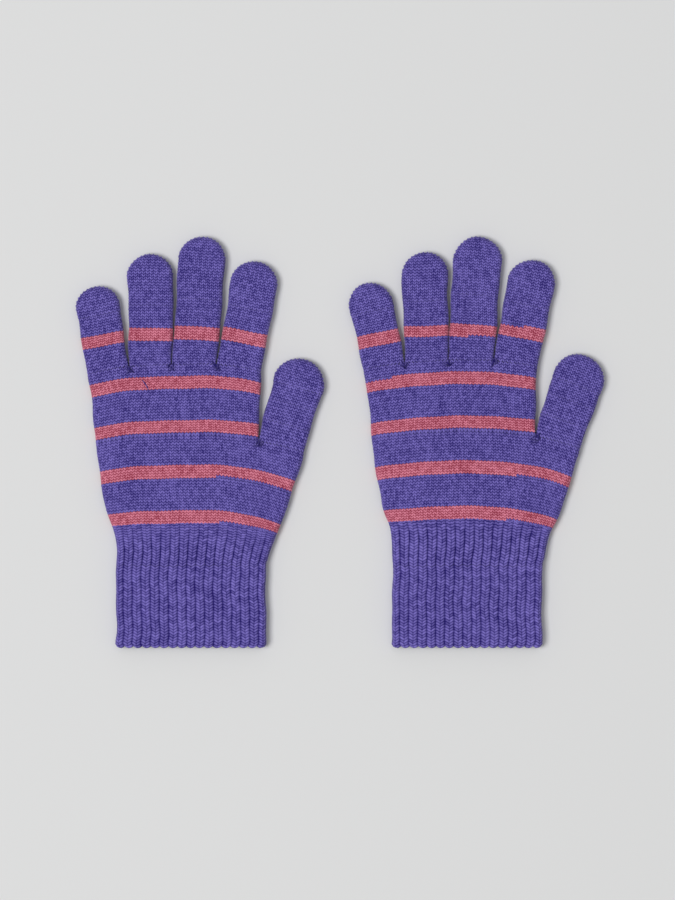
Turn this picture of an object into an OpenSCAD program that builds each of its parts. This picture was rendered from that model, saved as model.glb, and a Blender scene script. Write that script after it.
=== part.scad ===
// A pair of striped machine-knitted gloves, lying flat side by side with their fingers up.
// Each glove is a hollow flattened tube of fabric, built band by band as it is knitted:
// ribbed cuff, hand, four fingers and a thumb, with contrast stripes of a few courses each.
// Frame: +Z up, the gloves lie on z = 0, the fingers point along +Y and the thumbs towards +X.
// The origin is at the middle of the pair's footprint.

/* [Pair] */
// Length of a glove from its hem to the tip of the middle finger
glove_length = 200; // [194:1:208]
// Distance from the middle of one cuff to the middle of the other
glove_spacing = 134.3; // [130:0.1:170]
// Height of a hand or finger lying flat, over both layers
hand_height = 7.2; // [6.8:0.1:8]
// Thickness of one layer of stocking-stitch fabric
fabric = 1.3; // [0.9:0.1:1.3]

/* [Cuff] */
// Width of the ribbed cuff lying flat
cuff_width = 72.2; // [70:0.2:73]
// Height of the cuff lying flat, over the ribs of both layers
cuff_height = 8; // [7.8:0.1:8.6]
// Length of the straight ribbing above the hem
rib_length = 40; // [36:1:44]
// Ribs all the way round a cuff
rib_count = 36; // [28:1:40]
// Depth of the groove between two ribs
rib_depth = 0.6; // [0.2:0.1:0.7]
// Threads of elastic laid in along the inside of the ribbing
elastic_rows = 4; // [2:1:6]
// Thickness of an elastic thread, flattened against the fabric
elastic_thick = 0.45; // [0.2:0.05:0.5]

/* [Hand] */
// Height of a contrast stripe on the hand
stripe = 5.6; // [4.5:0.1:6]
// Height of the lowest course of the wrist stripe, at the middle of the hand
wrist_stripe_y = 61.3; // [60:0.1:62]
// Pitch of the stripes up the hand
stripe_pitch = 21.9; // [21.6:0.1:22]
// Height of the course where the thumb leaves the hand
thumb_split_y = 103; // [102.5:0.1:103.5]
// Height of the course where the fingers leave the hand
finger_split_y = 138; // [137.5:0.1:138.5]

/* [Fingers] */
// Width of the little, ring, middle and index fingers lying flat
finger_width = [20.9, 21.4, 22.6, 22.4]; // [20:0.1:22.6]
// Distance from a finger's root to its stripe
stripe_start = 12.8; // [12.8:0.1:13.2]
// Distance from each finger's root to its middle fold
fold_at = [22.8, 25.0, 27.5, 24.5]; // [22.8:0.1:28]
// Length of the fabric that bends at a fold, on the tip's side of it
fold_half = 4.2; // [4.1:0.1:4.4]
// Width of the thumb lying flat
thumb_width = 23.8; // [22:0.1:24]
// Distance from the thumb's root to the end of its root band
thumb_root_end = 10; // [10:0.1:10.5]
// Distance from the thumb's root to its middle fold
thumb_fold_at = 24.4; // [24:0.1:26]

/* [Hidden] */
SIDES = ["left", "right"];
FINGERS = ["little", "ring", "middle", "index"];
FINGER_BANDS = ["base_band", "stripe", "knuckle_band", "tip"];
HAND_PARTS = ["cuff", "cuff_elastic", "cuff_top", "wrist_stripe", "lower_palm", "lower_palm_stripe",
              "upper_palm", "upper_palm_stripes", "crotch_stitches"];
THUMB_PARTS = ["thumb_base_band", "thumb_tube", "thumb_knuckle_band", "thumb_tip"];
NODES = [for (side = SIDES)
             for (part = concat(HAND_PARTS,
                                [for (finger = FINGERS) for (band = FINGER_BANDS) str(finger, "_", band)],
                                THUMB_PARTS))
                 str(side, "_", part)];
node = "all";

PURPLE = [0.34, 0.30, 0.58];
PINK = [0.72, 0.39, 0.46];
ELASTIC = [0.86, 0.84, 0.80];

// The two gloves of a pair are never quite alike: one hand is knitted a little longer from the
// ribbing up, with slightly shorter fingers and a wider spread.
lift = [0, 2.0];
splay = [[-9.0, 0, 4.4, 10.8], [-11.0, 0, 5.0, 11.4]];
finger_stripe = [5.6, 4.6];
thumb_splay = [16.5, 20];
thumb_length = [43.0, 43.8];
// How far each fingertip stays below the middle fingertip
tip_drop = [[24.0, 8.3, 0, 11.7], [22.5, 7.3, 0, 11.2]];

// The points along the knuckle line where neighbouring fingers part, from little to index
crotch_x = [-50.8, -31.4, -10, 12.4, 33.4];
// Room left between neighbouring fingers at a crotch, and at the thumb's
crotch_gap = 0.2;
// Faces between neighbouring bands stand this much short of their shared course
course_gap = 0.05;
// The thumb leaves the hand here, and its root ends here
thumb_crotch_x = 33;
thumb_root_x = 55.2;

// Half-width of the hand on each side of the cuff's middle, by the height of the course
little_side = [[40, 36.1], [50, 36.1], [58, 37], [68.5, 40.9], [85, 44.3], [104, 46.6], [125, 48.8],
               [138, 50.8]];
thumb_side = [[40, 36.1], [50, 38.4], [60, 41.1], [72, 45.9], [87, 50.3], [103, 55.4]];
index_side = [[103, 32.8], [125, 32.8], [138, 33.5]];
// How far a course droops at 46 mm and 56 mm to the sides, by its height
little_droop = [[40, 0], [58, 1.4], [64, 2.6], [86, 3.7], [140, 3.9]];
thumb_droop = [[40, 0], [56, 9], [64, 13], [86, 10.7], [103, 8.5], [109, 6.5], [130, 11.5], [140, 11.5]];
droop_reach = [46, 56];
// A course runs straight over the middle of the hand and droops near its sides
DROOP_POWER = 2.6;

// Points along one flat of a section, and steps round one rounded edge
FLAT_STEPS = 8;
EDGE_STEPS = 6;
FINGER_STEPS = 5;
ROUND = 48;

// Height of a course at x, given its height at the middle of the hand
function course(y, x) =
    x < 0 ? y - lookup(y, little_droop) * pow(-x / droop_reach[0], DROOP_POWER)
          : y - lookup(y, thumb_droop) * pow(x / droop_reach[1], DROOP_POWER);

// A flattened tube's section as [x, z] points, from x0 to x1, set in by depth from the outside
function flat_ring(x0, x1, height, depth, steps) =
    let (r = height / 2, q = r - depth)
    concat([for (i = [0 : steps]) [x0 + r + (x1 - x0 - height) * i / steps, height - depth]],
           [for (k = [1 : EDGE_STEPS - 1]) let (a = 90 - 180 * k / EDGE_STEPS)
               [x1 - r + q * cos(a), r + q * sin(a)]],
           [for (i = [steps : -1 : 0]) [x0 + r + (x1 - x0 - height) * i / steps, depth]],
           [for (k = [1 : EDGE_STEPS - 1]) let (a = 270 - 180 * k / EDGE_STEPS)
               [x0 + r + q * cos(a), r + q * sin(a)]]);

// A point on a flattened tube's edge at a fraction of the way round, set in by depth
function rim_point(x0, x1, height, fraction, depth) =
    let (r = height / 2, flat = x1 - x0 - height, arc = PI * r, total = 2 * (flat + arc),
         s = (fraction - floor(fraction)) * total, q = r - depth)
    s < flat ? [x0 + r + s, height - depth]
    : s < flat + arc ? let (a = 90 - 180 * (s - flat) / arc) [x1 - r + q * cos(a), r + q * sin(a)]
    : s < 2 * flat + arc ? [x1 - r - (s - flat - arc), depth]
    : let (a = 270 - 180 * (s - 2 * flat - arc) / arc) [x0 + r + q * cos(a), r + q * sin(a)];

// Three points a rib: up onto the crest, off it, and the bottom of the groove
RIB_SHAPE = [[0.12, 0], [0.70, 0], [0.91, 1]];
function ribbed_ring(x0, x1, height, groove) =
    [for (k = [0 : rib_count - 1]) for (p = RIB_SHAPE)
        rim_point(x0, x1, height, (k + p[0]) / rib_count, p[1] * groove)];
function smooth_ring(x0, x1, height, depth) =
    [for (k = [0 : rib_count - 1]) for (p = RIB_SHAPE)
        rim_point(x0, x1, height, (k + p[0]) / rib_count, depth)];

// Sections of a band of the hand: along its course at height y
function hand_row(y, x0, x1, depth) =
    [for (p = flat_ring(x0, x1, hand_height, depth, FLAT_STEPS)) [p[0], course(y, p[0]), p[1]]];

// A closed hollow band through matching outer and inner rows of points
module hollow_band(outer, inner) {
    rows = len(outer);
    n = len(outer[0]);
    start = rows * n;
    function at(j, i) = j * n + i % n;
    polyhedron(
        points = concat([for (row = outer) each row], [for (row = inner) each row]),
        faces = concat(
            [for (j = [0 : rows - 2]) for (i = [0 : n - 1])
                each [[at(j, i), at(j + 1, i), at(j + 1, i + 1)], [at(j, i), at(j + 1, i + 1), at(j, i + 1)]]],
            [for (j = [0 : rows - 2]) for (i = [0 : n - 1]) each [
                [start + at(j, i), start + at(j, i + 1), start + at(j + 1, i + 1)],
                [start + at(j, i), start + at(j + 1, i + 1), start + at(j + 1, i)]]],
            [for (i = [0 : n - 1]) each [
                [at(0, i), at(0, i + 1), start + at(0, i + 1)],
                [at(0, i), start + at(0, i + 1), start + at(0, i)]]],
            [for (i = [0 : n - 1]) each [
                [at(rows - 1, i), start + at(rows - 1, i), start + at(rows - 1, i + 1)],
                [at(rows - 1, i), start + at(rows - 1, i + 1), at(rows - 1, i + 1)]]]));
}

// A band of the hand between two courses; above the thumb it ends at the index finger's side
module hand_band(y0, y1, rows, right_side) {
    heights = [for (j = [0 : rows]) y0 + course_gap + (y1 - y0 - 2 * course_gap) * j / rows];
    hollow_band(
        [for (y = heights) hand_row(y, -lookup(y, little_side), lookup(y, right_side), 0)],
        [for (y = heights) hand_row(y, -lookup(y, little_side), lookup(y, right_side), fabric)]);
}

// Fingers and thumb: root point, direction, width and length
function root(f) = let (x = (crotch_x[f] + crotch_x[f + 1]) / 2) [x, course(finger_split_y, x)];
function finger_length(side, f) =
    (glove_length - lift[side] - tip_drop[side][f] - root(f)[1] - finger_width[f] / 2)
    / cos(splay[side][f]) + finger_width[f] / 2;
thumb_root = [43.8, 99];

// Puts a finger's own frame, with +Y along it, at its root
module along(root_point, tilt) {
    translate([root_point[0], root_point[1], 0]) rotate([0, 0, -tilt]) children();
}

// Outline of a flattened tube, standing on its own middle line
module flat_outline(width, height) {
    square([width - height, height], center = true);
    for (sx = [-1, 1]) translate([sx * (width - height) / 2, 0]) circle(d = height, $fn = ROUND);
}

// A straight run of a flattened tube from y0 to y1 along a finger
module tube_run(width, y0, y1, inset) {
    translate([0, y1, hand_height / 2]) rotate([90, 0, 0]) linear_extrude(y1 - y0)
        flat_outline(width - 2 * inset, hand_height - 2 * inset);
}

module finger_tube(width, y0, y1) {
    difference() {
        tube_run(width, y0 + course_gap, y1 - course_gap, 0);
        tube_run(width, y0 - 1, y1 + 1, fabric);
    }
}

// Half of a round flat pad: the closed end of a finger
module tip_pad(width, end_y, inset) {
    flat = (width - hand_height) / 2;
    translate([0, end_y - width / 2, hand_height / 2]) rotate_extrude(angle = 180, $fn = ROUND) {
        translate([0, inset - hand_height / 2]) square([flat, hand_height - 2 * inset]);
        intersection() {
            translate([flat, 0]) circle(d = hand_height - 2 * inset, $fn = ROUND);
            translate([0, -hand_height]) square([width, 2 * hand_height]);
        }
    }
}

module finger_tip(width, y0, end_y) {
    difference() {
        union() {
            tube_run(width, y0 + course_gap, end_y - width / 2, 0);
            tip_pad(width, end_y, 0);
        }
        tube_run(width, y0 - 1, end_y - width / 2, fabric);
        tip_pad(width, end_y, fabric);
    }
}

// The band that joins a finger to the hand: from the hand's top course to a square section
// across the finger's own direction
module root_band(split_y, xa, xb, root_point, tilt, width, end) {
    function low(depth) =
        [for (p = flat_ring(xa + crotch_gap, xb - crotch_gap, hand_height, depth, FINGER_STEPS))
            [p[0], course(split_y, p[0]) + course_gap, p[1]]];
    function high(depth) =
        [for (p = flat_ring(-width / 2, width / 2, hand_height, depth, FINGER_STEPS))
            [root_point[0] + (end - course_gap) * sin(tilt) + p[0] * cos(tilt),
             root_point[1] + (end - course_gap) * cos(tilt) - p[0] * sin(tilt), p[1]]];
    hollow_band([low(0), high(0)], [low(fabric), high(fabric)]);
}

module cuff() {
    half = cuff_width / 2;
    color(PURPLE) difference() {
        translate([0, rib_length - course_gap, 0]) rotate([90, 0, 0]) linear_extrude(rib_length - course_gap)
            polygon(ribbed_ring(-half, half, cuff_height, rib_depth));
        translate([0, rib_length + 1, cuff_height / 2]) rotate([90, 0, 0]) linear_extrude(rib_length + 2)
            flat_outline(cuff_width - 2 * fabric, cuff_height - 2 * fabric);
    }
}

module cuff_elastic() {
    thread_gap = 0.05;
    thread_height = 0.9;
    hem_clear = 4;
    outer_inset = fabric + thread_gap;
    inner_inset = outer_inset + elastic_thick;
    pitch = (rib_length - 2 * hem_clear) / (elastic_rows - 1);
    color(ELASTIC) for (k = [0 : elastic_rows - 1]) translate([0, hem_clear + k * pitch, cuff_height / 2])
        rotate([90, 0, 0]) difference() {
            linear_extrude(thread_height, center = true)
                flat_outline(cuff_width - 2 * outer_inset, cuff_height - 2 * outer_inset);
            linear_extrude(2 * thread_height, center = true)
                flat_outline(cuff_width - 2 * inner_inset, cuff_height - 2 * inner_inset);
        }
}

// The ribbing widens into the hand, thins to plain fabric and loses its ribs
module cuff_top(side) {
    rows = 4;
    top = wrist_stripe_y - course_gap + lift[side];
    function share(j) = j / rows;
    function height(j) = cuff_height + (hand_height - cuff_height) * share(j);
    function groove(j) = rib_depth * (1 - 0.8 * pow(share(j), 3));
    function level(j) = rib_length + (top - rib_length) * share(j);
    function place(j, ring) =
        [for (p = ring) [p[0], course(level(j) - lift[side] * share(j), p[0]) + lift[side] * share(j), p[1]]];
    function left(j) = -lookup(level(j) - lift[side] * share(j), little_side);
    function right(j) = lookup(level(j) - lift[side] * share(j), thumb_side);
    color(PURPLE) hollow_band(
        [for (j = [0 : rows]) place(j, ribbed_ring(left(j), right(j), height(j), groove(j)))],
        [for (j = [0 : rows]) place(j, smooth_ring(left(j), right(j), height(j), fabric))]);
}

module wrist_stripe() {
    color(PINK) hand_band(wrist_stripe_y, wrist_stripe_y + stripe, 2, thumb_side);
}

lower_stripe_y = wrist_stripe_y + stripe_pitch;
upper_stripe_y = [lower_stripe_y + stripe_pitch, lower_stripe_y + 2 * stripe_pitch];

module lower_palm() {
    color(PURPLE) {
        hand_band(wrist_stripe_y + stripe, lower_stripe_y, 3, thumb_side);
        hand_band(lower_stripe_y + stripe, thumb_split_y, 3, thumb_side);
    }
}

module lower_palm_stripe() {
    color(PINK) hand_band(lower_stripe_y, lower_stripe_y + stripe, 1, thumb_side);
}

module upper_palm() {
    color(PURPLE) {
        hand_band(thumb_split_y, upper_stripe_y[0], 1, index_side);
        hand_band(upper_stripe_y[0] + stripe, upper_stripe_y[1], 3, index_side);
        hand_band(upper_stripe_y[1] + stripe, finger_split_y, 1, index_side);
    }
}

module upper_palm_stripes() {
    color(PINK) for (y = upper_stripe_y) hand_band(y, y + stripe, 1, index_side);
}

// A darned knot on each face of the glove, with the thread that joins them through the crotch
module crotch_knot(x, y) {
    knot_r = 0.85;
    thread_r = 0.12;
    translate([x, y + knot_r, 0]) {
        for (z = [knot_r, hand_height - knot_r]) translate([0, 0, z]) sphere(knot_r, $fn = 24);
        translate([0, 0, knot_r]) cylinder(h = hand_height - 2 * knot_r, r = thread_r, $fn = 16);
    }
}

module crotch_stitches() {
    color(PURPLE) {
        for (c = [1 : 3]) crotch_knot(crotch_x[c], course(finger_split_y, crotch_x[c]) + 0.1);
        crotch_knot(thumb_crotch_x + 0.1, course(thumb_split_y, thumb_crotch_x) + 0.3);
    }
}

module finger_base_band(side, f) {
    color(PURPLE) root_band(finger_split_y, crotch_x[f], crotch_x[f + 1], root(f), splay[side][f],
                            finger_width[f], stripe_start);
}

module finger_stripe_band(side, f) {
    color(PINK) along(root(f), splay[side][f])
        finger_tube(finger_width[f], stripe_start, stripe_start + finger_stripe[side]);
}

module finger_knuckle_band(side, f) {
    color(PURPLE) along(root(f), splay[side][f])
        finger_tube(finger_width[f], stripe_start + finger_stripe[side], fold_at[f] + fold_half);
}

module closed_fingertip(side, f) {
    color(PURPLE) along(root(f), splay[side][f])
        finger_tip(finger_width[f], fold_at[f] + fold_half, finger_length(side, f));
}

module thumb_base_band(side) {
    color(PURPLE) root_band(thumb_split_y, thumb_crotch_x, thumb_root_x, thumb_root, thumb_splay[side],
                            thumb_width, thumb_root_end);
}

module thumb_tube(side) {
    color(PURPLE) along(thumb_root, thumb_splay[side])
        finger_tube(thumb_width, thumb_root_end, thumb_fold_at - fold_half);
}

module thumb_knuckle_band(side) {
    color(PURPLE) along(thumb_root, thumb_splay[side])
        finger_tube(thumb_width, thumb_fold_at - fold_half, thumb_fold_at + fold_half);
}

module thumb_tip(side) {
    color(PURPLE) along(thumb_root, thumb_splay[side])
        finger_tip(thumb_width, thumb_fold_at + fold_half, thumb_length[side]);
}

// The pair's footprint runs from the left little fingertip's side to the right thumb tip's
function tip_centre(root_point, tilt, length, width) =
    root_point[0] + (length - width / 2) * sin(tilt);
left_reach = tip_centre(root(0), splay[0][0], finger_length(0, 0), finger_width[0]) - finger_width[0] / 2;
right_reach = tip_centre(thumb_root, thumb_splay[1], thumb_length[1], thumb_width) + thumb_width / 2;
pair_middle = (left_reach + right_reach + glove_spacing) / 2;

module cuff_frame(side) {
    translate([side * glove_spacing - pair_middle, -glove_length / 2, 0]) children();
}

module hand_frame(side) {
    cuff_frame(side) translate([0, lift[side], 0]) children();
}

function wanted(side, part) = node == "all" || node == str(SIDES[side], "_", part);

for (side = [0 : 1]) {
    if (wanted(side, "cuff")) cuff_frame(side) cuff();
    if (wanted(side, "cuff_elastic")) cuff_frame(side) cuff_elastic();
    if (wanted(side, "cuff_top")) cuff_frame(side) cuff_top(side);
    if (wanted(side, "wrist_stripe")) hand_frame(side) wrist_stripe();
    if (wanted(side, "lower_palm")) hand_frame(side) lower_palm();
    if (wanted(side, "lower_palm_stripe")) hand_frame(side) lower_palm_stripe();
    if (wanted(side, "upper_palm")) hand_frame(side) upper_palm();
    if (wanted(side, "upper_palm_stripes")) hand_frame(side) upper_palm_stripes();
    if (wanted(side, "crotch_stitches")) hand_frame(side) crotch_stitches();
    for (f = [0 : 3]) {
        if (wanted(side, str(FINGERS[f], "_base_band"))) hand_frame(side) finger_base_band(side, f);
        if (wanted(side, str(FINGERS[f], "_stripe"))) hand_frame(side) finger_stripe_band(side, f);
        if (wanted(side, str(FINGERS[f], "_knuckle_band"))) hand_frame(side) finger_knuckle_band(side, f);
        if (wanted(side, str(FINGERS[f], "_tip"))) hand_frame(side) closed_fingertip(side, f);
    }
    if (wanted(side, "thumb_base_band")) hand_frame(side) thumb_base_band(side);
    if (wanted(side, "thumb_tube")) hand_frame(side) thumb_tube(side);
    if (wanted(side, "thumb_knuckle_band")) hand_frame(side) thumb_knuckle_band(side);
    if (wanted(side, "thumb_tip")) hand_frame(side) thumb_tip(side);
}
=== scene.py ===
"""A pair of striped machine-knitted gloves lying flat, knitted stitch by stitch over the CAD frame.

Every band of fabric is a closed tube of real stitches: the outer skin carries the relief of each
stitch, and a plain inner skin gives the fabric its thickness. Lengths are in millimetres until a
mesh is made, where MM turns them into metres. A wale is one column of stitches and a course is one
row of them, so a place on the fabric is given as (wale, course).
"""
import logging
import math
from dataclasses import dataclass
from enum import Enum

import bmesh
import bpy
import numpy as np
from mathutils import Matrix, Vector


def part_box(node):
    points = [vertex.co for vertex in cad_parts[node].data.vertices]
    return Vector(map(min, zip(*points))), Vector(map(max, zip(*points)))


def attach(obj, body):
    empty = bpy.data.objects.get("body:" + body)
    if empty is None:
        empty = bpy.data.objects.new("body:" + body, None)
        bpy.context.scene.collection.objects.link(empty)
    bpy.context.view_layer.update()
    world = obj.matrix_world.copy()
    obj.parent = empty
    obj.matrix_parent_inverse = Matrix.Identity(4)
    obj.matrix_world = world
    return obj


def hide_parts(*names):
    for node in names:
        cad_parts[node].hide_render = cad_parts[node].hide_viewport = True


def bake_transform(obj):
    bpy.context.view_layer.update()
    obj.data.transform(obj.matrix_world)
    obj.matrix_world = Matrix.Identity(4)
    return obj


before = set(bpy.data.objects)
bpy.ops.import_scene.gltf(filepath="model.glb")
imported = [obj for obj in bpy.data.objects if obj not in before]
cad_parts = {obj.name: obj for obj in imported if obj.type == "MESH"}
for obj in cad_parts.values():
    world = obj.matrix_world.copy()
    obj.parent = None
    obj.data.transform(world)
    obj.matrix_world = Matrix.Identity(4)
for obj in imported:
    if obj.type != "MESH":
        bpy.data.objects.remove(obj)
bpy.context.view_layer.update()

MM = 0.001
UV_KNIT = "knit"
RELIEF = "stitch_relief"
OTHER_YARN = "other_yarn"

log = logging.getLogger("gloves")

Array = np.ndarray
Table = tuple[tuple[float, float], ...]
Ends = tuple[bool, bool]


class Side(Enum):
    """The two gloves of the pair, by where they lie."""

    LEFT = 0
    RIGHT = 1

    @property
    def label(self) -> str:
        """The side's name as the CAD nodes and bodies have it."""
        return self.name.lower()


class Yarn(Enum):
    """The yarns and threads that the gloves are made of, named as the record's material slots."""

    PURPLE = "purple_yarn"
    PINK = "pink_yarn"
    RIB = "purple_rib"
    DARNING = "purple_darning"
    ELASTIC = "elastic_thread"


def smooth_step(x: Array | float) -> Array:
    """A soft ramp from 0 to 1 as x goes from 0 to 1."""
    t = np.clip(x, 0.0, 1.0)
    return t * t * (3.0 - 2.0 * t)


def soft_lookup(at: Array, table: Table, reach: float = 3.0) -> Array:
    """Reads a table of (place, value) pairs with its corners rounded off.

    Args:
        at: Places to read the table at.
        table: The pairs, by rising place.
        reach: How far either side of a place is averaged.

    Returns:
        The values at those places.
    """
    xs, ys = np.array(table, float).T
    steps = np.linspace(-reach, reach, 5)
    return np.mean([np.interp(np.asarray(at) + d, xs, ys) for d in steps], axis=0)


def box_mm(node: str) -> tuple[Array, Array]:
    """Lowest and highest corner of a CAD node in millimetres."""
    low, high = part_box(node)
    return np.array(low) / MM, np.array(high) / MM


# --------------------------------------------------------------------------------------------
# Finishes
# --------------------------------------------------------------------------------------------


class Nodes:
    """A short hand for wiring one node tree."""

    def __init__(self, tree: bpy.types.NodeTree) -> None:
        """Takes the tree that the nodes are added to."""
        self.tree = tree

    def add(self, kind: str, **inputs: object) -> bpy.types.Node:
        """Adds a node and sets or links its inputs.

        Args:
            kind: The node's type without its ShaderNode prefix, or its full type.
            inputs: Values or output sockets by input name, with _ for a space; keys that start
                with p_ are properties of the node, and i0, i1, ... are inputs by number.

        Returns:
            The new node.
        """
        full = kind if kind.startswith("NodeGroup") else f"ShaderNode{kind}"
        node = self.tree.nodes.new(full)
        for key, value in inputs.items():
            if key.startswith("p_"):
                setattr(node, key[2:], value)
        for key, value in inputs.items():
            if key.startswith("p_"):
                continue
            number = key[0] == "i" and key[1:].isdigit()
            socket = node.inputs[int(key[1:])] if number else node.inputs[key.replace("_", " ")]
            if isinstance(value, bpy.types.NodeSocket):
                self.tree.links.new(value, socket)
            else:
                socket.default_value = value
        return node

    def math(self, operation: str, a: object, b: object = 0.0, c: object = 0.0) -> bpy.types.NodeSocket:
        """Adds a Math node and returns its output."""
        return self.add("Math", p_operation=operation, i0=a, i1=b, i2=c).outputs[0]

    def link(self, output: bpy.types.NodeSocket, socket: bpy.types.NodeSocket) -> None:
        """Links an output to an input."""
        self.tree.links.new(output, socket)


def new_group(name: str, inputs: dict[str, float], outputs: dict[str, str]) -> tuple[object, Nodes]:
    """Starts a shader node group with named sockets.

    Args:
        name: The group's name.
        inputs: Each input's name and its starting value; all of them are plain numbers.
        outputs: Each output's name and its socket type.

    Returns:
        The group, and the helper that wires its inside; the helper's tree holds the nodes
        Group Input and Group Output.
    """
    group = bpy.data.node_groups.new(name, "ShaderNodeTree")
    for label, value in inputs.items():
        socket = group.interface.new_socket(name=label, in_out="INPUT", socket_type="NodeSocketFloat")
        socket.default_value = value
    for label, kind in outputs.items():
        group.interface.new_socket(name=label, in_out="OUTPUT", socket_type=kind)
    group.nodes.new("NodeGroupInput").name = "Group Input"
    group.nodes.new("NodeGroupOutput").name = "Group Output"
    return group, Nodes(group)


class StitchTone:
    """Node group: how light each spot of the fabric is painted, from the stitch that it lies on: painted
    shade in the valleys and a painted highlight on the yarn's top.
    """

    NAME = "Stitch tone"

    def build(self) -> bpy.types.NodeTree:
        """Builds the group.

        Returns:
            The group, whose Tone runs from 0 in the valleys between stitches, painted as shade, to 1 on
            the yarn's top, painted as a highlight, a little off from leg to leg and from patch to patch,
            and whose Crest is a mask of the yarn's top alone.
        """
        group, n = new_group(
            self.NAME,
            {"Low": 0.1, "High": 0.9, "Stitch spread": 0.1, "Patch spread": 0.1, "Patch size": 45.0},
            {"Tone": "NodeSocketFloat", "Crest": "NodeSocketFloat"},
        )
        given = group.nodes["Group Input"].outputs
        relief = n.add("Attribute", p_attribute_name=RELIEF).outputs["Fac"]
        uv = n.add("UVMap", p_uv_map=UV_KNIT).outputs["UV"]
        half = n.add("VectorMath", p_operation="MULTIPLY", i0=uv, i1=(2.0, 1.0, 1.0)).outputs[0]
        cell = n.add("VectorMath", p_operation="FLOOR", i0=half).outputs[0]
        leg = n.add("TexWhiteNoise", p_noise_dimensions="2D", Vector=cell).outputs["Value"]
        place = n.add("TexCoord").outputs["Object"]
        along = n.add("VectorMath", p_operation="MULTIPLY", i0=place, i1=(1.8, 0.7, 1.0)).outputs[0]
        patch = n.add("TexNoise", Vector=along, Scale=given["Patch size"], Detail=3.0).outputs["Fac"]
        # painted shade and painted highlight: the tone follows the stitch relief
        base = n.add("MapRange", i0=relief, i1=given["Low"], i2=given["High"], i3=0.0, i4=1.0)
        uneven = n.math("MULTIPLY", n.math("SUBTRACT", leg, 0.5), given["Stitch spread"])
        cloud = n.math("MULTIPLY", n.math("SUBTRACT", patch, 0.5), given["Patch spread"])
        tone = n.math("ADD", n.math("ADD", base.outputs[0], uneven), cloud)
        crest = n.add("MapRange", i0=relief, i1=0.6, i2=1.0, i3=0.0, i4=1.0).outputs[0]
        end = group.nodes["Group Output"].inputs
        n.link(tone, end["Tone"])
        n.link(crest, end["Crest"])
        return group


class YarnFibre:
    """Node group: the twist of the plies and the loose fibres on top of them, as a height."""

    NAME = "Yarn fibre"

    def build(self) -> bpy.types.NodeTree:
        """Builds the group, whose Height rises on each ply and Fleck is a fine mottle of fibres."""
        group, n = new_group(
            self.NAME,
            {"Twists": 5.0, "Fibre size": 3800.0, "Fibre share": 0.5},
            {"Height": "NodeSocketFloat", "Fleck": "NodeSocketFloat"},
        )
        given = group.nodes["Group Input"].outputs
        uv = n.add("UVMap", p_uv_map=UV_KNIT).outputs["UV"]
        split = n.add("SeparateXYZ", i0=uv).outputs
        across = n.math("ABSOLUTE", n.math("SUBTRACT", n.math("FRACT", split[0]), 0.5))
        lay = n.math("MULTIPLY_ADD", across, 2.4, split[1])
        turn = n.math("MULTIPLY", n.math("MULTIPLY", lay, given["Twists"]), 2.0 * math.pi)
        ply = n.math("MULTIPLY_ADD", n.math("SINE", turn), 0.5, 0.5)
        place = n.add("TexCoord").outputs["Object"]
        fibre = n.add("TexNoise", Vector=place, Scale=given["Fibre size"], Detail=4.0, Roughness=0.7)
        share = given["Fibre share"]
        loose = n.math("MULTIPLY", fibre.outputs["Fac"], share)
        height = n.math("MULTIPLY_ADD", ply, n.math("SUBTRACT", 1.0, share), loose)
        end = group.nodes["Group Output"].inputs
        n.link(height, end["Height"])
        n.link(fibre.outputs["Fac"], end["Fleck"])
        return group


@dataclass(frozen=True)
class Dye:
    """One dyed colour with painted shading: deep is the dye in painted shade for the valleys between
    stitches, and crest is the dye in a paler painted highlight for the yarn's top.
    """

    # deep: the dye in painted shade; crest: the dye in a painted highlight.
    deep: tuple[float, float, float]
    crest: tuple[float, float, float]


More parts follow.
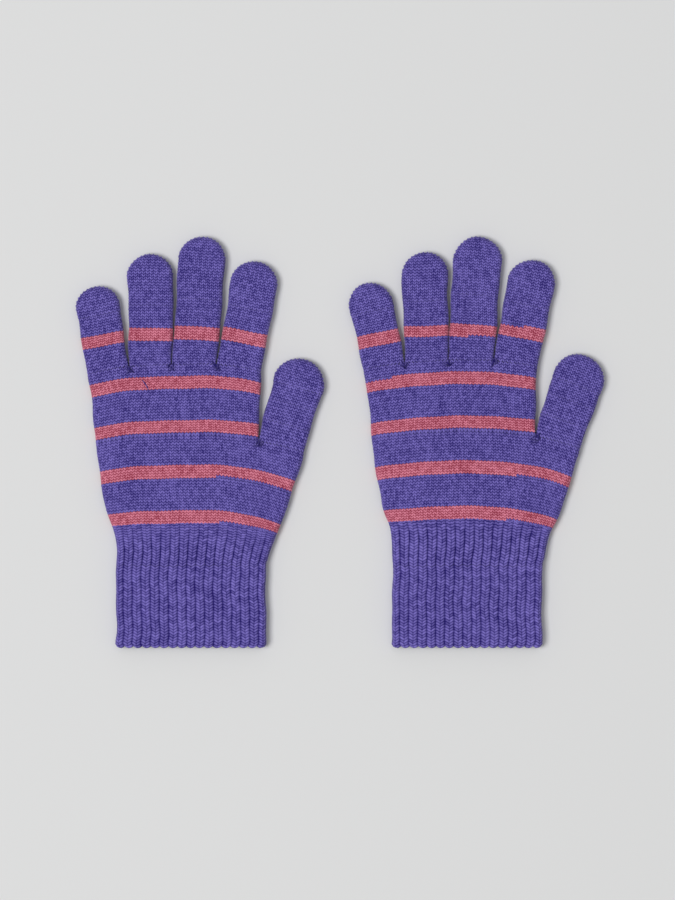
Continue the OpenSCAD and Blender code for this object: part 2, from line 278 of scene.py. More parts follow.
@dataclass(frozen=True)
class YarnFinish:
    """A soft acrylic yarn, dyed one colour, with painted shade in the valleys between stitches and a
    painted highlight on their tops, and with the other yarn showing where a course jogs.
    """

    name: str
    dye: Dye
    other: Dye
    low: float = 0.20
    high: float = 1.00
    stitch_spread: float = 0.45
    patch_spread: float = 0.30
    fleck: float = 0.5
    roughness: float = 0.88
    crest_gloss: float = 0.08
    specular: float = 0.2
    sheen: float = 0.35
    sheen_roughness: float = 0.40
    sheen_tint: tuple[float, float, float] = (0.85, 0.82, 1.0)
    twists: float = 4.0
    bump_strength: float = 0.6
    bump_mm: float = 0.05

    def two_dyes(self, n: Nodes, stray: bpy.types.NodeSocket, mine: tuple[float, float, float],
                 other: tuple[float, float, float]) -> bpy.types.NodeSocket:
        """Picks one of two colours by where the other yarn shows."""
        mix = n.add("Mix", p_data_type="RGBA", i0=stray)
        mix.inputs[6].default_value = (*mine, 1.0)
        mix.inputs[7].default_value = (*other, 1.0)
        return mix.outputs[2]

    def make(self) -> bpy.types.Material:
        """Makes the material.

        Returns:
            A Principled material whose colour follows the stitches, from painted shade in the valleys to
            a painted highlight on the yarn's top, and whose roughness and normal follow the stitches
            too.
        """
        material = bpy.data.materials.new(self.name)
        material.use_nodes = True
        tree = material.node_tree
        tree.nodes.clear()
        n = Nodes(tree)
        tone = n.add("Group", p_node_tree=bpy.data.node_groups[StitchTone.NAME])
        tone.inputs["Low"].default_value = self.low
        tone.inputs["High"].default_value = self.high
        tone.inputs["Stitch spread"].default_value = self.stitch_spread
        tone.inputs["Patch spread"].default_value = self.patch_spread
        fibre = n.add("Group", p_node_tree=bpy.data.node_groups[YarnFibre.NAME])
        fibre.inputs["Twists"].default_value = self.twists
        stray = n.add("Attribute", p_attribute_name=OTHER_YARN).outputs["Fac"]
        # painted shade (deep) and painted highlight (crest), in this yarn or in the other one
        deep = self.two_dyes(n, stray, self.dye.deep, self.other.deep)
        crest = self.two_dyes(n, stray, self.dye.crest, self.other.crest)
        fleck = n.math("MULTIPLY_ADD", fibre.outputs["Fleck"], self.fleck, -self.fleck / 2.0)
        share = n.math("ADD", tone.outputs["Tone"], fleck)
        # the colour is mixed from painted shade to painted highlight by the stitch tone
        colour = n.add("Mix", p_data_type="RGBA", i0=share, i6=deep, i7=crest)
        bump = n.add("Bump", Height=fibre.outputs["Height"], Strength=self.bump_strength,
                     Distance=self.bump_mm * MM)
        rough = n.math("MULTIPLY_ADD", tone.outputs["Crest"], -self.crest_gloss, self.roughness)
        shader = n.add("BsdfPrincipled", Base_Color=colour.outputs[2], Roughness=rough,
                       Normal=bump.outputs[0])
        shader.inputs["Specular IOR Level"].default_value = self.specular
        shader.inputs["Sheen Weight"].default_value = self.sheen
        shader.inputs["Sheen Roughness"].default_value = self.sheen_roughness
        shader.inputs["Sheen Tint"].default_value = (*self.sheen_tint, 1.0)
        n.link(shader.outputs[0], n.add("OutputMaterial").inputs[0])
        return material


@dataclass(frozen=True)
class ElasticFinish:
    """Covered rubber thread, pale, with the turns of its covering showing."""

    name: str
    colour: tuple[float, float, float] = (0.72, 0.69, 0.62)
    turns_per_metre: float = 2600.0
    roughness: float = 0.6

    def make(self) -> bpy.types.Material:
        """Makes the material, with a fine covering drawn by bands across the thread and painted shade
        between its turns.
        """
        material = bpy.data.materials.new(self.name)
        material.use_nodes = True
        tree = material.node_tree
        tree.nodes.clear()
        n = Nodes(tree)
        place = n.add("TexCoord").outputs["Object"]
        wrap = n.add("TexWave", Vector=place, Scale=self.turns_per_metre / 6.0, Distortion=1.5)
        # painted shade: darker where the covering dips between its turns
        shade = n.add("MapRange", i0=wrap.outputs["Fac"], i1=0.0, i2=1.0, i3=0.75, i4=1.0).outputs[0]
        tint = n.add("VectorMath", p_operation="SCALE", i0=self.colour, Scale=shade)
        bump = n.add("Bump", Height=wrap.outputs["Fac"], Strength=0.5, Distance=0.05 * MM)
        shader = n.add("BsdfPrincipled", Base_Color=tint.outputs[0], Roughness=self.roughness,
                       Normal=bump.outputs[0])
        n.link(shader.outputs[0], n.add("OutputMaterial").inputs[0])
        return material


# Each yarn's dye, first as painted shade for the valleys, then as painted highlight for the yarn's top.
PURPLE_DYE_AND_SHADING = Dye((0.008, 0.002, 0.125), (0.215, 0.172, 0.570))
PINK_DYE_AND_SHADING = Dye((0.240, 0.010, 0.035), (0.800, 0.262, 0.368))


class Dyehouse:
    """Makes each finish once and puts it on pieces."""

    def __init__(self) -> None:
        """Builds the node groups, and then the materials that use them."""
        StitchTone().build()
        YarnFibre().build()
        finishes = (
            YarnFinish(Yarn.PURPLE.value, PURPLE_DYE_AND_SHADING, PINK_DYE_AND_SHADING),
            YarnFinish(Yarn.PINK.value, PINK_DYE_AND_SHADING, PURPLE_DYE_AND_SHADING),
            YarnFinish(Yarn.RIB.value, PURPLE_DYE_AND_SHADING, PINK_DYE_AND_SHADING, low=0.10, high=1.14, stitch_spread=0.36),
            # the darning is painted darker, as painted shade in the knots between the fingers
            YarnFinish(Yarn.DARNING.value, PURPLE_DYE_AND_SHADING, PINK_DYE_AND_SHADING, low=0.45, high=1.30),
            ElasticFinish(Yarn.ELASTIC.value),
        )
        self.materials = {finish.name: finish.make() for finish in finishes}

    def dress(self, piece: bpy.types.Object, yarn: Yarn) -> None:
        """Gives a piece the material of its yarn, which bears the yarn's slot name."""
        piece.data.materials.clear()
        piece.data.materials.append(self.materials[yarn.value])


# --------------------------------------------------------------------------------------------
# Stitches
# --------------------------------------------------------------------------------------------


@dataclass
class Gauge:
    """The knitting gauge: how big a stitch is and how finely it is modelled.

    Columns and rows are points to a stitch. The chevron is how far a stitch's legs slope, and
    calm_share is what is left of it where the colour changes. The inner and outer drop are how
    round a leg is on its two flanks, and the valleys are the heights between two courses.
    """

    course: float = 1.365
    columns: int = 6
    rows: int = 4
    relief: float = 0.42
    chevron: float = 0.66
    calm_share: float = 0.55
    calm_reach: float = 0.9
    inner_drop: float = 0.50
    outer_drop: float = 0.55
    valley: float = 0.05
    edge_valley: float = 0.35
    fabric: float = 1.2
    stripe_courses: int = 5
    unevenness: float = 0.10
    plumpest: float = 1.15
    tables: int = 512
    back_shift: int = 200

    def courses_in(self, length: float) -> int:
        """The whole number of courses that fills a length."""
        return max(1, round(length / self.course))

    def chevron_at(self, wale: Array) -> Array:
        """How far, in courses, the two legs of a stitch slope: lowest in the wale's middle."""
        fraction = wale - np.floor(wale)
        return self.chevron * (np.abs(2.0 * fraction - 1.0) - 0.5)

    def calm(self, course: Array, last: float, ends: Ends) -> Array:
        """How much of the chevron is left near a band's edges: less where the colour changes."""
        left = np.ones_like(course)
        for changes, away in zip(ends, (course, last - course)):
            if changes:
                near = self.calm_share + (1.0 - self.calm_share) * smooth_step(away / self.calm_reach)
                left = np.minimum(left, near)
        return left

    def plain_relief(self, wale: Array, course: Array) -> Array:
        """Height of plain fabric, from 0 in a valley to 1 on a leg of a stitch."""
        off = np.abs(wale - np.floor(wale) - 0.5)
        leg = np.abs(off - 0.25) / 0.25
        ridge = 1.0 - np.where(off < 0.25, self.inner_drop, self.outer_drop) * leg**2
        return ridge * self.swell(course, self.valley)

    @staticmethod
    def swell(course: Array, valley: float) -> Array:
        """Height along a leg of a stitch, from a valley at each end to 1 in its middle."""
        along = np.abs(2.0 * (course - np.floor(course)) - 1.0)
        return valley + (1.0 - valley) * np.sqrt(np.clip(1.0 - along**2, 0.0, 1.0))

    def edge_relief(self, wale: Array) -> Array:
        """Height along a band's edge, the same on both of the bands that meet there."""
        return self.edge_valley / self.valley * self.plain_relief(wale, np.zeros_like(wale))

    def uneven(self, wale: Array, course: Array, back: Array, seed: int) -> Array:
        """How plump each leg of each stitch is, about 1, from a fixed seed.

        Args:
            wale: Wale numbers.
            course: Course numbers.
            back: A mask that is true on the lower layer, which has stitches of its own.
            seed: The seed.

        Returns:
            The factors.
        """
        table = np.random.default_rng(seed).normal(1.0, self.unevenness, (self.tables, self.tables))
        legs = np.floor(wale * 2.0).astype(int) % self.tables
        return table[legs, np.floor(course + back * self.back_shift).astype(int) % self.tables]


@dataclass
class Skin:
    """A rectangular grid of points that closes on itself sideways, with what it carries.

    Each row is one ring round the tube: the front from fold to fold, then the back. Depth is the
    fabric's thickness, sink lowers the knitted surface, other marks faces of the other yarn, and tone is
    the relief that the colour's painted shade and painted highlight follow where it isn't the height
    itself.
    """

    points: Array
    normals: Array
    wale: Array
    course: Array
    height: Array
    back: Array
    fold: float
    around: float
    depth: float = 1.2
    relief: float = 0.42
    inner_relief: float = 0.0
    inner_step: int = 8
    sink: Array | float = 0.0
    other: Array | None = None
    tone: Array | None = None
    closed_end: bool = False

    def outer(self) -> Array:
        """The knitted surface, with its stitches raised up to the CAD surface."""
        lift = (self.height - 1.0) * self.relief - self.sink
        return self.points + self.normals * lift[..., None]

    def picked(self) -> Array:
        """The rows that the inside is made with."""
        rows = len(self.points)
        return np.unique(np.r_[np.arange(0, rows, self.inner_step), rows - 1])

    def inner(self) -> Array:
        """The inside of the fabric, on the picked rows."""
        rows = self.picked()
        deep = self.depth + self.inner_relief * (1.0 - self.height[rows])
        return self.points[rows] - self.normals[rows] * deep[..., None]

    def corners(self, quads: Array) -> Array:
        """Where each corner of each quad lies on the knitting, as (wale, course) pairs.

        Args:
            quads: Vertex numbers within this skin.

        Returns:
            The pairs, unbroken round the ring.
        """
        wale = np.where(self.back, 2.0 * self.fold - self.wale, self.wale)
        pairs = np.stack([wale, self.course], -1)
        flat = np.concatenate([pairs.reshape(-1, 2), pairs[self.picked()].reshape(-1, 2)])
        found = flat[quads]
        closing = found[..., 0].max(1, keepdims=True) - found[..., 0] > self.around / 2.0
        found[..., 0] += closing * self.around
        return found


class Loom:
    """Turns skins into Blender pieces."""

    def __init__(self, dyes: Dyehouse) -> None:
        """Takes the dyehouse that finishes the pieces."""
        self.dyes = dyes

    @staticmethod
    def strip(first: Array, second: Array) -> Array:
        """Quads between two rings of vertex numbers."""
        return np.stack([first, np.roll(first, -1), np.roll(second, -1), second], axis=1)

    def piece(self, name: str, skins: list[Skin], yarn: Yarn, body: str | None, replaced: str,
              weld: bool = False) -> bpy.types.Object:
        """Makes one piece from its skins.

        Args:
            name: The piece's name.
            skins: The grids that it is made of.
            yarn: Its yarn.
            body: The CAD body that it rides on, or None if it is tied to none.
            replaced: The CAD node that it stands for.
            weld: Whether points that coincide are joined, as at a fold or a closed end.

        Returns:
            The piece.
        """
        verts, faces, corners, relief, other, knitted = [], [], [], [], [], []
        start = 0
        for skin in skins:
            rows, columns = skin.wale.shape
            outer = np.arange(rows * columns).reshape(rows, columns)
            inner = outer.size + np.arange(len(skin.picked()) * columns).reshape(-1, columns)
            verts += [skin.outer().reshape(-1, 3), skin.inner().reshape(-1, 3)]
            tone = skin.height if skin.tone is None else skin.tone
            # the colour's painted shade and highlight follow the tone; the inner skin is painted darker
            # still, as painted shade inside the tube
            relief += [tone.ravel(), 0.8 * tone[skin.picked()].ravel()]
            here = [self.strip(outer[j], outer[j + 1]) for j in range(rows - 1)]
            here += [self.strip(inner[j + 1], inner[j]) for j in range(len(inner) - 1)]
            here += [self.strip(inner[0], outer[0])]
            if not skin.closed_end:
                here += [self.strip(outer[-1], inner[-1])]
            quads = np.concatenate(here)
            soft = np.ones(len(quads), bool)
            soft[(rows - 2 + len(inner)) * columns:] = False
            knitted.append(soft)
            marks = np.zeros(len(quads))
            if skin.other is not None:
                marks[: (rows - 1) * columns] = skin.other[:-1].ravel()
            other.append(marks)
            corners.append(skin.corners(quads))
            faces.append(quads + start)
            start += outer.size + inner.size
        mesh = self.mesh_from(name, np.concatenate(verts) * MM, np.concatenate(faces),
                          np.concatenate(knitted))
        self.paint(mesh, np.concatenate(corners), np.concatenate(relief), np.concatenate(other))
        if weld:
            self._weld(mesh)
        return self.show(mesh, yarn, body, replaced)

    def show(self, mesh: bpy.types.Mesh, yarn: Yarn, body: str | None,
             replaced: str) -> bpy.types.Object:
        """Makes the piece that shows a mesh, dresses it, ties it to its CAD body if it has one, and
        hides the CAD node that it stands for.
        """
        piece = bpy.data.objects.new(mesh.name, mesh)
        bpy.context.scene.collection.objects.link(piece)
        self.dyes.dress(piece, yarn)
        if body is not None:
            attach(piece, body)
        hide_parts(replaced)
        log.info("%s: %d faces on %s", piece.name, len(mesh.polygons), body or "two bodies")
        return piece

    @staticmethod
    def mesh_from(name: str, verts: Array, faces: Array, soft: Array) -> bpy.types.Mesh:
        """A mesh from arrays of points and quads, and which quads are shaded smooth."""
        mesh = bpy.data.meshes.new(name)
        mesh.vertices.add(len(verts))
        mesh.vertices.foreach_set("co", verts.astype(np.float32).ravel())
        mesh.loops.add(faces.size)
        mesh.loops.foreach_set("vertex_index", faces.astype(np.int32).ravel())
        mesh.polygons.add(len(faces))
        mesh.polygons.foreach_set("loop_start", np.arange(0, faces.size, 4, dtype=np.int32))
        mesh.polygons.foreach_set("use_smooth", soft)
        mesh.update(calc_edges=True)
        return mesh

    @staticmethod
    def paint(mesh: bpy.types.Mesh, corners: Array, relief: Array, other: Array) -> None:
        """Stores each corner's place on the knitting, the relief, and the faces of the other yarn."""
        layer = mesh.uv_layers.new(name=UV_KNIT)
        layer.uv.foreach_set("vector", corners.astype(np.float32).ravel())
        for label, domain, values in ((RELIEF, "POINT", relief), (OTHER_YARN, "FACE", other)):
            stored = mesh.attributes.new(label, "FLOAT", domain)
            stored.data.foreach_set("value", values.astype(np.float32))

    @staticmethod
    def _weld(mesh: bpy.types.Mesh) -> None:
        """Joins points that coincide and drops the faces that this closes up."""
        work = bmesh.new()
        work.from_mesh(mesh)
        bmesh.ops.remove_doubles(work, verts=work.verts, dist=0.002 * MM)
        work.to_mesh(mesh)
        work.free()


def flat_section(arc: Array, x0: Array, x1: Array, height: Array, left: Array, right: Array
                 ) -> tuple[Array, Array, Array, Array]:
    """The upper half of a flattened tube, walked from its left fold to its right fold.

    Args:
        arc: How far along the half each point lies.
        x0: Left edge.
        x1: Right edge.
        height: Height over both layers.
        left: Radius of the left rounding, up to half the height.
        right: Radius of the right rounding.

    Returns:
        x, z, and the normal's x and z.
    """
    half = height / 2.0
    wall_l = half - left
    flat_start = wall_l + math.pi / 2.0 * left
    flat_end = flat_start + (x1 - x0 - left - right)
    turn_l = np.clip((arc - wall_l) / np.maximum(left, 1e-6), 0.0, math.pi / 2.0)
    turn_r = np.clip((arc - flat_end) / np.maximum(right, 1e-6), 0.0, math.pi / 2.0)
    down = np.clip(arc - flat_end - math.pi / 2.0 * right, 0.0, None)
    up = np.clip(arc, 0.0, wall_l)
    on_left = arc < flat_start
    on_right = arc > flat_end
    x_mid = x0 + left + (arc - flat_start)
    x = np.where(on_left, x0 + left - left * np.cos(turn_l), x_mid)
    x = np.where(on_right, x1 - right + right * np.sin(turn_r), x)
    z = np.where(on_left, half + up + left * np.sin(turn_l), height)
    z = np.where(on_right, height - right + right * np.cos(turn_r) - down, z)
    nx = np.where(on_left, -np.cos(turn_l), 0.0)
    nx = np.where(on_right, np.sin(turn_r), nx)
    nz = np.where(on_left, np.sin(turn_l), 1.0)
    nz = np.where(on_right, np.cos(turn_r), nz)
    return x, z, nx, nz


def section_length(x0: Array, x1: Array, height: Array, left: Array, right: Array) -> Array:
    """Length of the walk that flat_section takes."""
    walls = height - left - right
    return walls + math.pi / 2.0 * (left + right) + (x1 - x0 - left - right)


def both_faces(columns: Array) -> tuple[Array, Array]:
    """Column places for a closed ring: the front from fold to fold, then the back the other way.

    Args:
        columns: The front's wale places, from one fold to the other.

    Returns:
        The places, and a mask that is true on the back.
    """
    back = columns[-2:0:-1]
    return np.r_[columns, back], np.r_[np.zeros(len(columns), bool), np.ones(len(back), bool)]


def turn_over(z: Array, nz: Array, height: Array, back: Array) -> tuple[Array, Array]:
    """Puts the back's points on the lower layer."""
    return np.where(back, height - z, z), np.where(back, -nz, nz)


# --------------------------------------------------------------------------------------------
# The hand
# --------------------------------------------------------------------------------------------


@dataclass(frozen=True)
class Wave:
    """A slight waviness of soft fabric, of some amount, along one way and drifting the other way."""

    amount: float
    length: float
    drift: float
    phase: float

    def at(self, along: Array, across: Array, seed: float) -> Array:
        """How far the fabric is moved; the seed gives each glove its own wave."""
        return self.amount * np.sin(along / self.length + across * self.drift + self.phase * seed)


@dataclass
class HandShape:
    """Outline and courses of one glove, in its own frame: x from the cuff's middle, y from the hem.

    The splits are where the thumb and the fingers leave the hand, and a crotch is the corner
    between two of them. A droop is how far a course hangs lower at a side than in the middle, by
    its height there. The fans are how much the wales at the sides draw together towards the cuff.
    """

    side: Side
    gauge: Gauge
    height: float = 7.2
    round: float = 2.5
    thumb_split: float = 103.0
    finger_split: float = 138.0
    wrist_stripe_top: float = 66.85
    stripes: Table = ((60.6, 67.1), (82.7, 89.2), (104.9, 110.9), (126.2, 132.4))
    finger_wales: int = 12
    face_wales: int = 61
    upper_wales: int = 48
    crotch_x: tuple[float, ...] = (-50.2, -29.8, -8.9, 13.0, 34.4)
    thumb_crotch_x: float = 33.4
    thumb_crotch_wale: int = 47
    little_side: Table = (
        (40, 36.1), (50, 36.1), (58, 37), (68.5, 40.8), (85, 44.0), (104, 46.0), (125, 48.1),
        (138, 50.2))
    thumb_side: Table = ((40, 36.8), (50, 38.9), (60, 41.5), (72, 46.1), (87, 50.3), (103, 55.6))
    index_side: Table = ((103, 33.4), (125, 33.8), (138, 34.6))
    little_droop: Table = ((40, 0), (56, 1.6), (64, 3.3), (86, 3.9), (140, 3.9))
    thumb_droop: Table = (
        (40, 0), (56, 9), (64, 13), (86, 10.7), (103, 8.5), (109, 6.5), (130, 11.5), (140, 11.5))
    droop_reach: tuple[float, float] = (46.0, 56.0)
    droop_power: float = 2.6
    thumb_fan_from: float = 26.0
    thumb_fan: float = 0.35
    little_fan_from: float = 20.0
    little_fan: float = 0.06
    fan_length: float = 53.0
    corner_growth: float = 7.0
    side_wales: float = 4.0
    slack_x: tuple[Wave, ...] = (Wave(0.22, 6.1, 0.0, 1.0), Wave(0.16, 2.9, 1.0 / 19.0, 2.0))
    slack_y: tuple[Wave, ...] = (Wave(0.18, 7.3, 0.0, 1.0), Wave(0.10, 3.1, 1.0 / 23.0, -1.0))
    slack_from: float = 6.0

    def __post_init__(self) -> None:
        """Takes the glove's place from the cuff and the wrist stripe of the CAD frame."""
        label = self.side.label
        low, high = box_mm(f"{label}_cuff")
        self.x = (low[0] + high[0]) / 2.0
        self.y = low[1]
        stripe_top = box_mm(f"{label}_wrist_stripe")[1][1]
        self.lift = stripe_top - (self.y + self.wrist_stripe_top)
        self.yarn_start = 256.0 * self.side.value
        across = sum(self.half_wrap(soft_lookup(self.thumb_split, edge))
                     for edge in (self.little_side, self.thumb_side))
        self.wale = float(across) / self.face_wales

    @property
    def wrist_stripe(self) -> float:
        """Height of the wrist stripe's lower edge at the middle of the hand."""
        return self.stripes[0][0]

    @property
    def half(self) -> float:
        """Half the height of the hand lying flat."""
        return self.height / 2.0

    def course(self, y: Array, x: Array) -> Array:
        """Height of a course at x, given its height at the middle of the hand."""
        left = np.clip(-np.asarray(x) / self.droop_reach[0], 0.0, None) ** self.droop_power
        right = np.clip(np.asarray(x) / self.droop_reach[1], 0.0, None) ** self.droop_power
        return y - soft_lookup(y, self.little_droop) * left - soft_lookup(y, self.thumb_droop) * right

    def half_wrap(self, edge: Array) -> Array:
        """Distance over the fabric from the middle of the hand to the fold at edge."""
        return edge + (math.pi / 2.0 - 2.0) * self.round + self.half

    def lower_arc(self, wale: Array, y: Array) -> tuple[Array, Array]:
        """Where the wales of the lower hand run: straight in the middle, fanning at the sides.

        Args:
            wale: Wale numbers from the little finger's fold.
            y: Height of the course.

        Returns:
            The distance from the little finger's fold, and the wale number held at the fold
            where the hand is too narrow for the wale.
        """
        drop = np.clip((self.thumb_split - y) / self.fan_length, 0.0, None)
        thumb = 1.0 - self.thumb_fan * drop
        little = 1.0 - self.little_fan * drop
        reach_l = self.half_wrap(soft_lookup(y, self.little_side))
        reach_r = self.half_wrap(soft_lookup(y, self.thumb_side))
        first = self.half_wrap(soft_lookup(self.thumb_split, self.little_side))
        most_r = self.thumb_fan_from + (reach_r - self.thumb_fan_from) / thumb
        most_l = self.little_fan_from + (reach_l - self.little_fan_from) / little
        flat = np.clip(wale * self.wale - first, -most_l, most_r)
        s = np.where(flat > self.thumb_fan_from,
                     self.thumb_fan_from + (flat - self.thumb_fan_from) * thumb, flat)
        s = np.where(flat < -self.little_fan_from,
                     -self.little_fan_from + (flat + self.little_fan_from) * little, s)
        return s + reach_l, (flat + first) / self.wale

    def upper_arc(self, wale: Array, y: Array, corner: Array) -> Array:
        """Where the wales of the upper hand run, from the thumb's crotch to the fingers' crotches."""
        reach_l = self.half_wrap(soft_lookup(y, self.little_side))
        edge = soft_lookup(y, self.index_side)
        end = reach_l + edge + self.half + (math.pi / 2.0 - 2.0) * corner
        start = reach_l - self.half_wrap(soft_lookup(self.thumb_split, self.little_side))
        low = start + wale * self.wale
        side = self.side_wales
        tail, last = self.upper_wales - side, self.upper_wales - 1.0
        at_tail = start + tail * self.wale
        even = at_tail + (end - at_tail) * (side - 1.0) / side
        at_corner = reach_l + edge + (even - reach_l - edge) * smooth_step(corner / self.round)
        low = np.where(wale > tail, at_tail + (at_corner - at_tail) * (wale - tail) / (last - tail), low)
        low = np.where(wale > last, at_corner + (end - at_corner) * (wale - last), low)
        low = np.where(wale < side, (start + side * self.wale) * wale / side, low)
        knots = [0.0] + [self.finger_wales * (f + 1.0) for f in range(3)] + [float(self.upper_wales)]
        spots = [reach_l * 0.0] + [reach_l + self.crotch_x[f + 1] for f in range(3)] + [end]
        high = low * 0.0
        for k in range(4):
            inside = (wale >= knots[k]) & (wale <= knots[k + 1])
            share = (wale - knots[k]) / (knots[k + 1] - knots[k])
            high = np.where(inside, spots[k] + (spots[k + 1] - spots[k]) * share, high)
        up = np.clip((y - self.thumb_split) / (self.finger_split - self.thumb_split), 0.0, 1.0)
        return low + (high - low) * smooth_step(up)

    def world(self, x: Array, y: Array, z: Array, lift: float | None = None) -> Array:
        """Moves glove places into the pair's frame, with the slack of soft fabric.

        Args:
            x: Across the glove.
            y: Up the glove from its hem.
            z: Up from the table.
            lift: How much longer this glove is below this place; the whole lift if left out.

        Returns:
            Points in millimetres in the row frame.
        """
        up = self.lift if lift is None else lift
        seed = 1.7 * self.side.value
        slack_x = sum(wave.at(y, x, seed) for wave in self.slack_x)
        slack_y = sum(wave.at(x, y, seed) for wave in self.slack_y)
        calm = smooth_step(y / self.slack_from)
        return np.stack([self.x + x + slack_x * calm, self.y + up + y + slack_y * calm, z], -1)


class HandTube:
    """The hand of one glove: bands of plain fabric between the wrist and the fingers."""

    def __init__(self, shape: HandShape, loom: Loom) -> None:
        """Takes the glove's outline and the loom that makes its pieces."""
        self.shape = shape
        self.loom = loom

    def band(self, y0: float, y1: float, first: int, upper: bool, courses: int = 0,
             ends: Ends = (True, True)) -> Skin:
        """One band between two courses.

        Args:
            y0: Height of its lower edge at the middle of the hand.
            y1: Height of its upper edge.
            first: Number of its first course.
            upper: Whether it lies above the thumb.
            courses: How many courses it has; as many as the gauge gives if left out.
            ends: Whether the colour changes at its lower and at its upper edge.

        Returns:
            The band's skin.
        """
        shape, gauge = self.shape, self.shape.gauge
        courses = courses or gauge.courses_in(y1 - y0)
        rows = np.arange(courses * gauge.rows + 1) / gauge.rows
        wales = shape.upper_wales if upper else shape.face_wales
        front = np.arange(wales * gauge.columns + 1) / gauge.columns
        ring, back = both_faces(front)
        pitch = (y1 - y0) / courses
        wale = np.broadcast_to(ring, (len(rows), len(ring)))
        level = y0 + rows[:, None] * pitch
        corner = shape.round + 0.0 * level
        side = shape.thumb_side
        if upper:
            corner = shape.round * smooth_step((level - shape.thumb_split) / shape.corner_growth)
            side = shape.index_side
            arc = shape.upper_arc(wale, level, corner)
        else:
            arc, wale = shape.lower_arc(wale, level)
        y_mid = level + gauge.chevron_at(wale) * pitch * gauge.calm(rows, courses, ends)[:, None]
        x0, x1 = -soft_lookup(level, shape.little_side), soft_lookup(level, side)
        x, z, nx, nz = flat_section(arc, x0, x1, shape.height, shape.round, corner)
        z, nz = turn_over(z, nz, shape.height, back)
        y = shape.course(y_mid, x)
        points = shape.world(x, y, z)
        normals = np.stack([nx, np.zeros_like(nx), nz], -1)
        stitch = rows[:, None] + np.zeros_like(wale)
        plump = gauge.uneven(wale, stitch + first, back, 11 + shape.side.value)
        height = gauge.plain_relief(wale, stitch) * plump
        edge = (stitch == 0) | (stitch == courses)
        height = np.where(edge, gauge.edge_relief(wale), height)
        height = np.clip(height, 0.0, gauge.plumpest)
        return Skin(points, normals, wale, stitch + first + shape.yarn_start, height, back,
                    fold=float(wales), around=2.0 * wales, depth=gauge.fabric, relief=gauge.relief)

    @staticmethod
    def jog(skin: Skin, course: int, wale_from: float, wale_to: float) -> None:
        """Turns part of one course of a skin into the other yarn."""
        rows = np.floor(skin.course - skin.course[0]) == course
        here = (skin.wale >= wale_from) & (skin.wale < wale_to) & ~skin.back
        marked = (rows & here).astype(float)
        skin.other = marked if skin.other is None else np.maximum(skin.other, marked)

    def build(self) -> list[bpy.types.Object]:
        """Builds the hand's stripes and the bands between them.

        Returns:
            The pieces.
        """
        s, side = self.shape, self.shape.side.label
        body = f"{side}_hand"
        low, high = [y for y, _ in s.stripes], [y for _, y in s.stripes]
        courses = s.gauge.stripe_courses
        wrist, lower, third, fourth = [
            self.band(low[k], high[k], 20 + 16 * k, k > 1, courses) for k in range(len(low))]
        if s.side is Side.LEFT:
            self.jog(wrist, 0, 36.0, 80.0)
            self.jog(lower, 0, 35.0, 80.0)
        else:
            self.jog(wrist, 0, 39.0, 80.0)
            self.jog(lower, 0, 41.5, 80.0)
            self.jog(fourth, 4, -1.0, 8.3)
        purple_low = [self.band(high[0], low[1], 25, False),
                      self.band(high[1], s.thumb_split, 41, False, ends=(True, False))]
        purple_high = [self.band(s.thumb_split, low[2], 50, True, ends=(False, True)),
                       self.band(high[2], low[3], 57, True),
                       self.band(high[3], s.finger_split, 73, True, ends=(True, False))]
        bands = (
            ("wrist_stripe_knit", [wrist], Yarn.PINK, "wrist_stripe", True),
            ("lower_hand_knit", purple_low, Yarn.PURPLE, "lower_palm", True),
            ("lower_stripe_knit", [lower], Yarn.PINK, "lower_palm_stripe", True),
            ("upper_hand_knit", purple_high, Yarn.PURPLE, "upper_palm", False),
            ("upper_stripes_knit", [third, fourth], Yarn.PINK, "upper_palm_stripes", False),
        )
        return [self.loom.piece(f"{side}_{name}", skins, yarn, body, f"{side}_{node}", weld)
                for name, skins, yarn, node, weld in bands]


# --------------------------------------------------------------------------------------------
# The cuff
# --------------------------------------------------------------------------------------------


